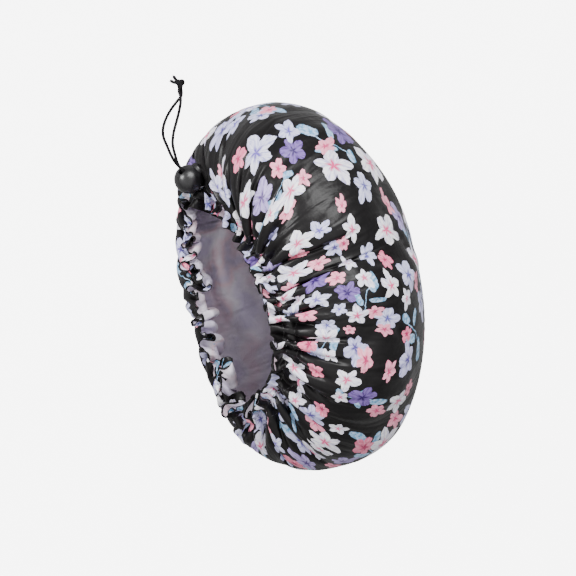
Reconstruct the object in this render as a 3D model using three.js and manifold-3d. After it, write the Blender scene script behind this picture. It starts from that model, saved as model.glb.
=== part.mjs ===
// A drawstring shower cap that lies on its side on a table, its gathered mouth facing left and up.
// Millimetres, +Z up. Two cloth discs, outer and lining, are gathered on one drawcord, whose ends
// leave the casing through a buttonhole, pass through a ball cord lock and end in a knot.
import * as THREE from 'three';
import { mergeVertices } from 'three/addons/utils/BufferGeometryUtils.js';
import Module from 'manifold-3d';

const wasm = await Module();
wasm.setup();

const { Vector3 } = THREE;
const degrees = THREE.MathUtils.degToRad;

// The filled cap: an oblong pillow, widest at its belt and flat where it lies on the table.
const BODY_HALF_LENGTH = 129;
const BODY_HALF_WIDTH = 81.3;
const BODY_RISE = 94;
const BODY_SAG = 46;
const BELT_HEIGHT = 38;
const BODY_ALONG = 2.2;
const BODY_TURN = degrees(14.7);
const CROWN_DIP = degrees(40);
const SIDE_FULLNESS = 2.7;
const PLAN_FULLNESS = 2;
const MOUTH_SIDE_FULLNESS = 2.5;
const END_BULGE_SHARE = 0.9;
const END_BULGE = [0.56, 0.76, 0.36];

// The mouth: the line that the drawcord follows, as four heights and its plan.
const MOUTH_TURN = degrees(13.2);
const MOUTH_HALF_LENGTH = 80.5;
const MOUTH_HALF_WIDTH = 27;
const MOUTH_ALONG = -1.8;
const MOUTH_ACROSS = 50.4;
const UPPER_LIP_BULGE = 11;
const UPPER_LIP_SKEW = -18;
const UPPER_LIP_HEIGHT = 118;
const LOWER_LIP_HEIGHT = 42;
const LOCK_END_HEIGHT = 32;
const FAR_END_HEIGHT = 45;

// Cloth: walls of the two discs, the frill beyond the drawcord, and the casing that holds it.
const CLOTH_WALL = 0.9;
const CLEARANCE = 0.3;
const LAYER_GAP = 0.5;
const FRILL_WIDTH = 14;
const CASING_HALF_WIDTH = 5;
const CASING_EASE = 1.25;
const PLEAT_DEPTH = 5.5;
const CASING_PLEAT_DEPTH = 4.2;
const MAIN_FOLD_DEPTH = 8;
const PLEATS = 24;

// Drawcord and the knot at its end.
const CORD_DIAMETER = 1.7;
const CORD_SIDES = 8;
const RING_STEPS = 72;
const STRAND_STEPS = 40;
const CORD_BEND = 3.4;
const KNOT_LENGTH = 8.4;
const KNOT_WIDTH = 6.8;
const KNOT_END_LENGTH = 7;

// Ball cord lock: ball, plunger in its bore, spring in its pocket.
const BALL_DIAMETER = 20;
const BORE_RADIUS = 5.8;
const BORE_FLOOR = 4.4;
const POCKET_RADIUS = 3.6;
const POCKET_DEPTH = 3.6;
const CORD_HOLE_HALF_HEIGHT = 2.2;
const PLUNGER_FOOT = 1.9;
const PLUNGER_REACH = 12.4;
const PLUNGER_DOME = 2.6;
const SPRING_RADIUS = 2.9;
const SPRING_WIRE = 0.5;
const SPRING_COILS = 5;
const SPRING_COIL_STEPS = 8;
const SPRING_SIDES = 5;

// Buttonhole: a flat stitched ring on the outer cloth.
const BUTTONHOLE_BORDER = 1.1;
const BUTTONHOLE_HEIGHT = 0.8;
const BUTTONHOLE_EASE = 0.7;

// Counts and small shares of the cloth's grid.
const COLUMNS = 2 * PLEATS;
const OVERRUN = 2;
const FRILL_ROW_SHARES = [1, 0.5];
const DOME_ROW_SHARES = [0.07, 0.16, 0.28, 0.42, 0.57, 0.72, 0.87];
const PLEAT_ROW_SHARES = [0.95, 0.65, 0.14, 0, 0.14, 0.5, 0.15, 0.04, 0, 0, 0, 0];
const PLEAT_EVEN_SHARE = 0.8;
const PLEAT_WAVE_SHARES = [2.4, 1.1];
const MAIN_FOLD_WIDTH_SHARE = 0.018;
// Each main fold: where it starts and ends as shares of the turn and of the dome, and its depth's share.
const MAIN_FOLD_SHARES = [
  [0.194, 0.219, 0.05, 0.52, 1],
  [0.281, 0.279, 0.04, 0.44, 0.5],
  [0.355, 0.342, 0.04, 0.56, 0.8],
  [0.092, 0.13, 0.04, 0.5, 0.7],
  [0.125, 0.15, 0.04, 0.46, 0.6],
  [0.153, 0.169, 0.04, 0.44, 0.5],
  [0.417, 0.389, 0.04, 0.46, 0.6],
];
const NECK_SHARE = 0.34;
const CASING_KICK_SHARE = 0.4;
const CORD_ROW = FRILL_ROW_SHARES.length + 1;
const ROUND_SIDES = 32;
const CORNER_STEPS = 5;
const HOLE_CORNER_STEPS = 2;
const DOME_STEP_SHARES = [0, 0.25, 0.5, 0.75];
const BEND_SHARES = [0.35, 0.7];
const LOCK_SHARES = [-1, -0.5, 0.5, 1];

// How far the frill is turned outwards at the drawcord, every 30 degrees from the lock.
const FRILL_KICKS = [15, 32, 45, 45, 45, 40, 35, 15, 20, 40, 30, 36].map(degrees);

// Where the two cord ends leave the ball, and where its plunger points.
const CORD_AXIS = new Vector3(-0.49, 0.55, 0.68).normalize();
const PLUNGER_AXIS = new Vector3(0.69, 0.72, -0.085).normalize();
const SIDE_AXIS = new Vector3().crossVectors(PLUNGER_AXIS, CORD_AXIS).normalize();

// Free strands, from the ball to the knot: plan from the ball's centre, height above the table.
const LEFT_ROUTE = [
  [-8.5, 10.6, 50.2], [-11.8, 16.2, 51.4], [-14.6, 22.6, 48.6], [-17.2, 28.6, 40.6], [-18.0, 34.0, 30.6],
  [-17.2, 39.4, 20.0], [-15.2, 45.0, 10.4], [-12.2, 50.4, 4.2], [-8.8, 55.0, 1.6], [-5.9, 58.9, 1.0],
  [-4.7, 62.4, 1.6],
];
const RIGHT_ROUTE = [
  [-7.0, 10.4, 52.4], [-9.2, 16.8, 53.8], [-10.8, 23.6, 49.4], [-10.8, 29.0, 41.8], [-10.3, 33.6, 31.8],
  [-9.3, 38.4, 21.4], [-8.1, 43.8, 12.4], [-7.0, 49.2, 6.4], [-6.2, 54.4, 4.2], [-6.3, 58.4, 3.9],
  [-8.0, 62.2, 3.6],
];
const KNOT_PLACE = [-6.6, 67.4];
const KNOT_END_TURNS = [128, 160].map(degrees);

const ALONG = new Vector3(-Math.sin(BODY_TURN), Math.cos(BODY_TURN), 0);
const ACROSS = new Vector3(-Math.cos(BODY_TURN), -Math.sin(BODY_TURN), 0);
const MOUTH_LONG_WAY = new Vector3(-Math.sin(MOUTH_TURN), Math.cos(MOUTH_TURN), 0);
const MOUTH_SHORT_WAY = new Vector3(-Math.cos(MOUTH_TURN), -Math.sin(MOUTH_TURN), 0);
const UP = new Vector3(0, 0, 1);
const BODY_CENTRE = new Vector3(0, 0, BELT_HEIGHT).addScaledVector(ALONG, BODY_ALONG);
const CORD_RADIUS = CORD_DIAMETER / 2;
const LUMEN = CORD_RADIUS + CASING_EASE;
const BALL_RADIUS = BALL_DIAMETER / 2;

// A point of the pillow for a unit direction (along, across, up), at a share of the way out.
function bodyPoint(direction, share) {
  const height = direction.z > 0 ? BODY_RISE : BODY_SAG;
  const reach = share / fullness(direction);
  return BODY_CENTRE.clone()
    .addScaledVector(ALONG, direction.x * BODY_HALF_LENGTH * reach)
    .addScaledVector(ACROSS, direction.y * BODY_HALF_WIDTH * reach)
    .addScaledVector(UP, direction.z * height * reach);
}

// An ellipse has a fullness of 2. The pillow's wall stands up more, and its corners by the mouth are fuller.
function fullness(direction) {
  const corner = direction.y > 0 ? MOUTH_SIDE_FULLNESS : PLAN_FULLNESS;
  const plan = (Math.abs(direction.x) ** corner + Math.abs(direction.y) ** corner) ** (1 / corner);
  return (plan ** SIDE_FULLNESS + Math.abs(direction.z) ** SIDE_FULLNESS) ** (1 / SIDE_FULLNESS);
}

// The same point the other way round: its direction, whose length is the share.
function bodyDirection(point) {
  const from = point.clone().sub(BODY_CENTRE);
  const height = from.z > 0 ? BODY_RISE : BODY_SAG;
  const along = from.dot(ALONG) / BODY_HALF_LENGTH;
  const across = from.dot(ACROSS) / BODY_HALF_WIDTH;
  return new Vector3(along, across, from.z / height);
}

// The drawcord's line; turn 0 is the lock's end, a quarter turn the upper lip, a half the far end.
function mouthPoint(turn) {
  const [c, s] = [Math.cos(turn), Math.sin(turn)];
  const endHeight = (LOCK_END_HEIGHT + FAR_END_HEIGHT) / 2;
  const lipHeight = (UPPER_LIP_HEIGHT + LOWER_LIP_HEIGHT) / 2;
  const along = MOUTH_ALONG + MOUTH_HALF_LENGTH * c + UPPER_LIP_SKEW * s * s * (1 + s) / 2;
  const across = MOUTH_ACROSS - MOUTH_HALF_WIDTH * s - UPPER_LIP_BULGE * s * s;
  const height = endHeight + (LOCK_END_HEIGHT - FAR_END_HEIGHT) / 2 * c
    + (UPPER_LIP_HEIGHT - LOWER_LIP_HEIGHT) / 2 * s + (lipHeight - endHeight) * s * s;
  return new Vector3(0, 0, height)
    .addScaledVector(MOUTH_LONG_WAY, along)
    .addScaledVector(MOUTH_SHORT_WAY, across);
}

function mouthTangent(turn) {
  const small = Math.PI / COLUMNS;
  return mouthPoint(turn + small).sub(mouthPoint(turn - small)).normalize();
}

// The way the cloth leaves the drawcord's line towards the crown.
function domeDirection(turn) {
  return domePoint(turn, DOME_ROW_SHARES[0]).sub(mouthPoint(turn)).normalize();
}

// The way the cloth leaves the drawcord's line on the other side: on from the dome's cloth, turned
// outwards by a share of its kick, part of it in the casing and all of it in the frill.
function frillDirection(turn, share) {
  const count = FRILL_KICKS.length;
  const place = (turn / (2 * Math.PI)) * count;
  const first = Math.floor(place);
  const ease = (1 - Math.cos(Math.PI * (place - first))) / 2;
  const kick = share * (FRILL_KICKS[first % count] * (1 - ease) + FRILL_KICKS[(first + 1) % count] * ease);
  const inward = domeDirection(turn);
  const outward = new Vector3().crossVectors(mouthTangent(turn), inward).normalize();
  return inward.multiplyScalar(-Math.cos(kick)).addScaledVector(outward, Math.sin(kick)).normalize();
}

// The dome between the drawcord and the crown; share 0 is the drawcord and 1 the crown.
function domePoint(turn, share) {
  const rim = bodyDirection(mouthPoint(turn));
  const rimShare = fullness(rim);
  const crown = new Vector3(0, -Math.cos(CROWN_DIP), -Math.sin(CROWN_DIP));
  rim.normalize();
  const angle = rim.angleTo(crown);
  const direction = rim.multiplyScalar(Math.sin((1 - share) * angle) / Math.sin(angle))
    .addScaledVector(crown, Math.sin(share * angle) / Math.sin(angle));
  const end = Math.cos(turn) ** 3;
  const bulge = END_BULGE_SHARE * Math.sin(Math.PI * share) ** 2;
  const [along, across, up] = END_BULGE;
  direction.add(new Vector3(along * end, across * Math.abs(end), up * Math.abs(end)).multiplyScalar(bulge));
  direction.normalize();
  const neck = Math.max(0, 1 - share / NECK_SHARE);
  return bodyPoint(direction, 1 - (1 - rimShare) * neck * neck);
}

// Row 0 is the frill's edge, CORD_ROW the drawcord's line, and the last row ends short of the crown.
function basePoint(row, turn) {
  if (row < CORD_ROW) {
    const casingWay = frillDirection(turn, CASING_KICK_SHARE);
    const seam = mouthPoint(turn).addScaledVector(casingWay, CASING_HALF_WIDTH);
    if (row === CORD_ROW - 1) return seam;
    const free = (FRILL_WIDTH - CASING_HALF_WIDTH) * FRILL_ROW_SHARES[row];
    return seam.addScaledVector(frillDirection(turn, 1), free);
  }
  if (row === CORD_ROW) return mouthPoint(turn);
  if (row === CORD_ROW + 1) {
    return mouthPoint(turn).addScaledVector(domeDirection(turn), CASING_HALF_WIDTH);
  }
  return domePoint(turn, DOME_ROW_SHARES[row - CORD_ROW - 2]);
}

const ROWS = CORD_ROW + 2 + DOME_ROW_SHARES.length;
const columnTurn = (column) => (2 * Math.PI * column) / COLUMNS;

// Pleats alternate in and out from column to column, uneven in depth, and lie flat by the buttonhole.
function pleatShare(column) {
  const turn = columnTurn(column);
  const [fast, slow] = PLEAT_WAVE_SHARES;
  const wave = Math.sin(fast * column) * Math.cos(slow * column);
  const uneven = PLEAT_EVEN_SHARE + (1 - PLEAT_EVEN_SHARE) * wave;
  const fromLock = Math.min(turn, 2 * Math.PI - turn) / (2 * Math.PI / PLEATS);
  return uneven * (1 - Math.exp(-fromLock * fromLock)) * (column % 2 ? -1 : 1);
}

// How deep the main folds dip at a place of the dome, each fading out at both its ends.
function mainFoldShare(turn, share) {
  const place = turn / (2 * Math.PI);
  return MAIN_FOLD_SHARES.reduce((sum, [from, to, first, last, depth]) => {
    const along = Math.min(Math.max((share - first) / (last - first), 0), 1);
    const off = (place - from - (to - from) * along) / MAIN_FOLD_WIDTH_SHARE;
    return sum + depth * Math.sin(Math.PI * along) * Math.exp(-off * off);
  }, 0);
}

// Each grid point of the cloth: its place between the two discs, the way out, and the slope's share.
function clothGrid() {
  const base = [];
  for (let row = 0; row < ROWS; row += 1) {
    base.push(Array.from({ length: COLUMNS }, (_, column) => basePoint(row, columnTurn(column))));
  }
  const crown = domePoint(0, 1);
  return base.map((points, row) => points.map((point, column) => {
    const before = points[(column + COLUMNS - 1) % COLUMNS];
    const after = points[(column + 1) % COLUMNS];
    const inner = row + 1 < ROWS ? base[row + 1][column] : crown;
    const outer = row > 0 ? base[row - 1][column] : point;
    const out = new Vector3().crossVectors(after.clone().sub(before), inner.clone().sub(outer)).normalize();
    const domeShare = row > CORD_ROW + 1 ? DOME_ROW_SHARES[row - CORD_ROW - 2] : 0;
    const fold = PLEAT_DEPTH * PLEAT_ROW_SHARES[row] * pleatShare(column)
      - MAIN_FOLD_DEPTH * mainFoldShare(columnTurn(column), domeShare);
    const slope = 2 * PLEAT_DEPTH * PLEAT_ROW_SHARES[row] / after.distanceTo(point);
    const mid = point.clone().addScaledVector(out, fold);
    return { row, column, out, mid, stretch: Math.hypot(1, slope) };
  }));
}

// One disc as a thin closed body between two faces, each at its own distance from the middle.
function discGeometry(grid, near, far, nearFloor, farFloor, crownOut) {
  const positions = [];
  const index = [];
  const count = COLUMNS * ROWS;
  const addFace = (distance, floor) => {
    const place = (point) => positions.push(point.x, point.y, Math.max(point.z, floor));
    grid.forEach((points) => points.forEach((node) => {
      place(node.mid.clone().addScaledVector(node.out, distance(node)));
    }));
    place(domePoint(0, 1).addScaledVector(crownOut, distance({ row: ROWS, column: 0, stretch: 1 })));
  };
  addFace(far, farFloor);
  addFace(near, nearFloor);
  const faces = [[0, false], [count + 1, true]];
  faces.forEach(([start, turned]) => {
    const add = (a, b, c) => index.push(start + a, start + (turned ? c : b), start + (turned ? b : c));
    for (let column = 0; column < COLUMNS; column += 1) {
      const next = (column + 1) % COLUMNS;
      for (let row = 0; row + 1 < ROWS; row += 1) {
        const [a, b] = [row * COLUMNS + column, row * COLUMNS + next];
        add(a, b, b + COLUMNS);
        add(a, b + COLUMNS, a + COLUMNS);
      }
      add((ROWS - 1) * COLUMNS + column, (ROWS - 1) * COLUMNS + next, count);
    }
  });
  for (let column = 0; column < COLUMNS; column += 1) {
    const next = (column + 1) % COLUMNS;
    index.push(column, count + 1 + column, count + 1 + next);
    index.push(column, count + 1 + next, next);
  }
  const geometry = new THREE.BufferGeometry();
  geometry.setAttribute('position', new THREE.Float32BufferAttribute(positions, 3));
  geometry.setIndex(index);
  return geometry;
}

// Booleans: a closed three.js mesh as a solid, and a solid as a three.js mesh.
function solid(geometry, matrix = new THREE.Matrix4()) {
  const bare = geometry.clone().applyMatrix4(matrix);
  bare.deleteAttribute('normal');
  bare.deleteAttribute('uv');
  const merged = mergeVertices(bare, CLEARANCE / 1000);
  const mesh = new wasm.Mesh({
    numProp: 3,
    vertProperties: new Float32Array(merged.attributes.position.array),
    triVerts: new Uint32Array(merged.index.array),
  });
  return new wasm.Manifold(mesh);
}

function geometryOf(manifold) {
  const mesh = manifold.getMesh();
  const geometry = new THREE.BufferGeometry();
  geometry.setAttribute('position', new THREE.Float32BufferAttribute(mesh.vertProperties, 3));
  geometry.setIndex(Array.from(mesh.triVerts));
  return geometry;
}

function inwards(geometry) {
  const index = geometry.index.array;
  let volume = 0;
  const [a, b, c] = [new Vector3(), new Vector3(), new Vector3()];
  for (let i = 0; i < index.length; i += 3) {
    [a, b, c].forEach((corner, k) => corner.fromBufferAttribute(geometry.attributes.position, index[i + k]));
    volume += a.dot(b.cross(c));
  }
  return volume < 0;
}

const material = (color, roughness) => new THREE.MeshStandardMaterial({ color, roughness, metalness: 0 });
const printedSatin = material(0x2b2a2c, 0.5);
const liningSatin = material(0xc9c6cb, 0.6);
const cordBraid = material(0x1b1b1c, 0.75);
const lockPlastic = material(0x222221, 0.3);
const springSteel = new THREE.MeshStandardMaterial({ color: 0xb8bbc0, roughness: 0.3, metalness: 1 });
const blackThread = material(0x202022, 0.8);

const group = new THREE.Group();
function addPiece(name, geometry, surface, cord = false) {
  const mesh = new THREE.Mesh(geometry, surface);
  mesh.name = name;
  mesh.userData.cord = cord;
  group.add(mesh);
  return mesh;
}

// The lock's own frame: X across the two cords, Y along the plunger, Z along the cords.
const clothOut = clothGrid()[CORD_ROW][0].out;
const seatHeight = LUMEN + CLOTH_WALL + CLEARANCE + BUTTONHOLE_HEIGHT + CLEARANCE;
const cordPoint = (height) => mouthPoint(0).addScaledVector(CORD_AXIS, height / CORD_AXIS.dot(clothOut));
const cordLift = CORD_HOLE_HALF_HEIGHT - CLEARANCE - CORD_RADIUS;
const ballCentre = cordPoint(seatHeight + BALL_RADIUS).addScaledVector(PLUNGER_AXIS, -cordLift);
const lockFrame = new THREE.Matrix4().makeBasis(SIDE_AXIS, PLUNGER_AXIS, CORD_AXIS).setPosition(ballCentre);
const cordSide = CORD_RADIUS + CLEARANCE / 2;
const pressTravel = 2 * cordLift;

// A rounded slot, drawn round its centre.
function slotShape(halfWidth, halfHeight, corner) {
  const shape = new THREE.Shape();
  shape.absarc(halfWidth - corner, halfHeight - corner, corner, 0, Math.PI / 2);
  shape.absarc(corner - halfWidth, halfHeight - corner, corner, Math.PI / 2, Math.PI);
  shape.absarc(corner - halfWidth, corner - halfHeight, corner, Math.PI, 1.5 * Math.PI);
  shape.absarc(halfWidth - corner, corner - halfHeight, corner, 1.5 * Math.PI, 2 * Math.PI);
  return shape;
}

function slotSolid(halfWidth, halfHeight, corner, depth, matrix, curveSegments = CORNER_STEPS) {
  const shape = slotShape(halfWidth, halfHeight, corner);
  const geometry = new THREE.ExtrudeGeometry(shape, { depth, bevelEnabled: false, curveSegments });
  geometry.translate(0, 0, -depth / 2);
  return solid(geometry, matrix);
}

function cordHole(lift) {
  const corner = CORD_RADIUS + CLEARANCE;
  const halfWidth = cordSide + corner;
  const place = new THREE.Matrix4().makeTranslation(0, lift, 0);
  return slotSolid(halfWidth, CORD_HOLE_HALF_HEIGHT, corner, BALL_DIAMETER + 2 * OVERRUN, place);
}

// A closed turned piece from its half outline, from the axis back to the axis.
function turned(outline) {
  const points = outline.map(([r, y]) => new THREE.Vector2(r, y));
  return solid(new THREE.LatheGeometry(points, ROUND_SIDES));
}

function makeLock() {
  const boreTop = BALL_RADIUS + OVERRUN;
  const pocketFloor = BORE_FLOOR + POCKET_DEPTH;
  const ball = solid(new THREE.SphereGeometry(BALL_RADIUS, ROUND_SIDES, ROUND_SIDES / 2));
  const bore = turned([
    [0, -pocketFloor], [POCKET_RADIUS, -pocketFloor], [POCKET_RADIUS, -BORE_FLOOR],
    [BORE_RADIUS, -BORE_FLOOR], [BORE_RADIUS, boreTop], [0, boreTop],
  ]);
  const body = ball.subtract(bore).subtract(cordHole(0));
  addPiece('lock_body', geometryOf(body).applyMatrix4(lockFrame), lockPlastic);

  const radius = BORE_RADIUS - CLEARANCE;
  const foot = pressTravel - CORD_HOLE_HALF_HEIGHT - PLUNGER_FOOT;
  const shoulder = PLUNGER_REACH - PLUNGER_DOME;
  const dome = DOME_STEP_SHARES.map((share) => {
    const angle = (Math.PI / 2) * share;
    return [radius * Math.cos(angle), shoulder + PLUNGER_DOME * Math.sin(angle)];
  });
  const plunger = turned([[0, foot], [radius, foot], ...dome, [0, PLUNGER_REACH]]);
  const cutPlunger = plunger.subtract(cordHole(pressTravel));
  addPiece('lock_plunger', geometryOf(cutPlunger).applyMatrix4(lockFrame), lockPlastic);

  const low = -pocketFloor + CLEARANCE + SPRING_WIRE / 2;
  const high = foot - CLEARANCE - SPRING_WIRE / 2;
  const pitch = (high - low) / SPRING_COILS;
  class SpringPath extends THREE.Curve {
    getPoint(t, target = new Vector3()) {
      const angle = 2 * Math.PI * SPRING_COILS * t;
      const [x, z] = [SPRING_RADIUS * Math.cos(angle), SPRING_RADIUS * Math.sin(angle)];
      return target.set(x, low + (high - low) * t, z);
    }
  }
  console.log(`least gap between the spring's coils: ${(pitch - SPRING_WIRE).toFixed(2)} mm`);
  const spring = tube(new SpringPath(), SPRING_WIRE / 2, SPRING_SIDES, SPRING_COILS * SPRING_COIL_STEPS);
  addPiece('lock_spring', spring.applyMatrix4(lockFrame), springSteel);
}

// A round cord or wire along a curve, closed at both ends.
function tube(path, radius, sides, steps) {
  const section = new THREE.Shape();
  for (let side = 0; side < sides; side += 1) {
    const angle = (2 * Math.PI * side) / sides;
    const [x, y] = [radius * Math.cos(angle), radius * Math.sin(angle)];
    if (side) section.lineTo(x, y);
    else section.moveTo(x, y);
  }
  section.closePath();
  const geometry = new THREE.ExtrudeGeometry(section, { steps, extrudePath: path, bevelEnabled: false });
  geometry.deleteAttribute('normal');
  geometry.deleteAttribute('uv');
  const merged = mergeVertices(geometry, CLEARANCE / 1000);
  if (inwards(merged)) merged.index.array.reverse();
  return merged;
}

// How far from the lock's end, in turn, each end of the cord's ring stops, to leave room for its bend.
const endTangent = mouthTangent(0);
const endStep = CLEARANCE / MOUTH_HALF_WIDTH;
const endSpeed = mouthPoint(endStep).distanceTo(mouthPoint(0)) / endStep;
const ringEndTurn = (cordSide + CORD_BEND) / endSpeed;

class MouthPath extends THREE.Curve {
  getPoint(t, target = new Vector3()) {
    return target.copy(mouthPoint(ringEndTurn + (2 * Math.PI - 2 * ringEndTurn) * t));
  }
}

// One strand: out of the casing in a bend, straight through the lock, then free to the knot.
function strandPath(side, route) {
  const along = endTangent.clone().multiplyScalar(side);
  const origin = mouthPoint(0);
  const straight = (distance) => ballCentre.clone()
    .addScaledVector(SIDE_AXIS, side * cordSide)
    .addScaledVector(PLUNGER_AXIS, cordLift)
    .addScaledVector(CORD_AXIS, distance);
  const start = mouthPoint(side * ringEndTurn).addScaledVector(along, -CLEARANCE);
  const corner = origin.clone().addScaledVector(along, cordSide);
  const rise = corner.clone().addScaledVector(CORD_AXIS, CORD_BEND);
  const bend = new THREE.QuadraticBezierCurve3(start, corner, rise);
  const points = [start, ...BEND_SHARES.map((share) => bend.getPoint(share)), rise];
  points.push(...LOCK_SHARES.map((share) => straight(share * BALL_RADIUS)));
  route.forEach(([x, y, z]) => points.push(new Vector3(ballCentre.x + x, ballCentre.y + y, z)));
  return new THREE.CatmullRomCurve3(points, false, 'centripetal');
}

function makeCord() {
  addPiece('drawcord_ring', tube(new MouthPath(), CORD_RADIUS, CORD_SIDES, RING_STEPS), cordBraid);
  const strands = [['drawcord_strand_left', -1, LEFT_ROUTE], ['drawcord_strand_right', 1, RIGHT_ROUTE]];
  strands.forEach(([name, side, route]) => {
    const path = strandPath(side, route);
    console.log(`${name}: ${path.getLength().toFixed(1)} mm`);
    addPiece(name, tube(path, CORD_RADIUS, CORD_SIDES, STRAND_STEPS), cordBraid, true);
  });

  const centre = new Vector3(ballCentre.x + KNOT_PLACE[0], ballCentre.y + KNOT_PLACE[1], KNOT_WIDTH / 2);
  const lump = new THREE.SphereGeometry(1, ROUND_SIDES / 2, ROUND_SIDES / 4).rotateX(Math.PI / 2);
  lump.scale(KNOT_WIDTH / 2, KNOT_LENGTH / 2, KNOT_WIDTH / 2);
  let knot = solid(lump);
  KNOT_END_TURNS.forEach((turn) => {
    const end = new THREE.CylinderGeometry(CORD_RADIUS, CORD_RADIUS, KNOT_END_LENGTH, CORD_SIDES);
    end.translate(0, KNOT_END_LENGTH / 2 + CORD_DIAMETER, 0).rotateZ(turn - Math.PI / 2);
    end.translate(0, 0, 2 * CORD_RADIUS - KNOT_WIDTH / 2);
    knot = knot.add(solid(end));
  });
  const placed = geometryOf(knot).translate(centre.x, centre.y, centre.z);
  addPiece('drawcord_knot', placed, cordBraid, true);
}

function makeCloth() {
  const grid = clothGrid();
  const crownOut = domePoint(0, 1).sub(BODY_CENTRE).normalize();
  const casing = (node, outside) => {
    const crest = Math.max(0, outside * pleatShare(node.column));
    return LUMEN + CASING_PLEAT_DEPTH * crest;
  };
  const rise = (node, outside) => {
    return node.row === CORD_ROW ? casing(node, outside) : (LAYER_GAP / 2) * node.stretch;
  };
  const wall = (node) => CLOTH_WALL * node.stretch;
  const outerNear = (node) => rise(node, 1);
  const outerFar = (node) => rise(node, 1) + wall(node);
  const liningNear = (node) => -rise(node, -1);
  const liningFar = (node) => -rise(node, -1) - wall(node);
  const liningTop = CLOTH_WALL + LAYER_GAP;
  const outer = discGeometry(grid, outerNear, outerFar, CLOTH_WALL, 0, crownOut);
  const lining = discGeometry(grid, liningFar, liningNear, liningTop + CLOTH_WALL, liningTop, crownOut);

  // The buttonhole goes square through the outer cloth, round the two cord ends.
  const side = endTangent.clone().addScaledVector(clothOut, -endTangent.dot(clothOut)).normalize();
  const width = new Vector3().crossVectors(clothOut, side);
  const length = cordSide + CORD_RADIUS + CORD_BEND / 2;
  const halfWidth = CORD_RADIUS + BUTTONHOLE_EASE;
  const slot = (border, height, depth, cornerSteps) => {
    const frame = new THREE.Matrix4().makeBasis(side, width, clothOut).setPosition(cordPoint(height));
    return slotSolid(length + border, halfWidth + border, halfWidth + border, depth, frame, cornerSteps);
  };
  const hole = slot(0, LUMEN + CLOTH_WALL / 2, LUMEN + CLOTH_WALL + OVERRUN, HOLE_CORNER_STEPS);
  addPiece('outer_shell', geometryOf(solid(outer).subtract(hole)), printedSatin);
  addPiece('lining', lining, liningSatin);

  const lift = LUMEN + CLOTH_WALL + CLEARANCE + BUTTONHOLE_HEIGHT / 2;
  const plate = slot(BUTTONHOLE_BORDER, lift, BUTTONHOLE_HEIGHT);
  const through = slot(0, lift, BUTTONHOLE_HEIGHT + OVERRUN);
  addPiece('buttonhole', geometryOf(plate.subtract(through)), blackThread);
}

makeCloth();
makeCord();
makeLock();

// The origin is the middle of the footprint, on the table, measured without the free cord.
const bounds = new THREE.Box3();
group.children.filter((mesh) => !mesh.userData.cord).forEach((mesh) => bounds.expandByObject(mesh, true));
const middle = bounds.getCenter(new Vector3());
group.position.set(-middle.x, -middle.y, -bounds.min.z);

export default group;
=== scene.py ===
# A shower cap: printed satin outside, pale lining inside, gathered on a drawcord with a ball lock.
import math

import bmesh
import bpy
import numpy as np
from mathutils import Matrix, Vector


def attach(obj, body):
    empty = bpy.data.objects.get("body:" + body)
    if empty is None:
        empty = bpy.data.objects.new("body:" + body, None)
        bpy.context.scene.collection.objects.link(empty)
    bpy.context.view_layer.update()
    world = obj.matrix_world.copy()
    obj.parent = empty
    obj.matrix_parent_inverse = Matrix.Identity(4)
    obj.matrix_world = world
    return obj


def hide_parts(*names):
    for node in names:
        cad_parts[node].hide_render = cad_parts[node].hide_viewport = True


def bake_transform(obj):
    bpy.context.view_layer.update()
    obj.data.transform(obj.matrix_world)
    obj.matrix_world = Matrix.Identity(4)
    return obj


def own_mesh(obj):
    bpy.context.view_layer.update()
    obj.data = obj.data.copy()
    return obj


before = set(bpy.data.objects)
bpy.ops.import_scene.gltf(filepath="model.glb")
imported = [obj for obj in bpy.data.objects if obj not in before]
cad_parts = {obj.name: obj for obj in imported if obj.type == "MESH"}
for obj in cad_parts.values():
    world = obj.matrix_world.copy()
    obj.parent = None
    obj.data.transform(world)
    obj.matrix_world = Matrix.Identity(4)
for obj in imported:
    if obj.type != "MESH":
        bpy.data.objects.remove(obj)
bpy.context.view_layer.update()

MM = 0.001
TURN = 2 * math.pi


def linked(name, data):
    """A new object in the scene, at the origin."""
    made = bpy.data.objects.new(name, data)
    bpy.context.scene.collection.objects.link(made)
    return made


# Camera: straight down on the table, with the long lens of a product photograph.
VIEW_MIDDLE = (-0.00739, -0.00200)
VIEW_WIDTH, VIEW_DISTANCE, SUBJECT_HEIGHT = 0.3974, 4.0, 0.045
FILM_WIDTH = 36.0

camera_data = bpy.data.cameras.new("camera")
camera_data.sensor_width = FILM_WIDTH
camera_data.lens = FILM_WIDTH * VIEW_DISTANCE / VIEW_WIDTH
camera_data.clip_end = 20.0
camera = linked("camera", camera_data)
camera.location = (*VIEW_MIDDLE, SUBJECT_HEIGHT + VIEW_DISTANCE)
bpy.context.scene.camera = camera


def srgb(code):
    """A colour written as on screen, in the linear values that the shader wants."""
    parts = [int(code[i:i + 2], 16) / 255 for i in (1, 3, 5)]
    return tuple(p / 12.92 if p <= 0.04045 else ((p + 0.055) / 1.055) ** 2.4 for p in parts) + (1.0,)


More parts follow.
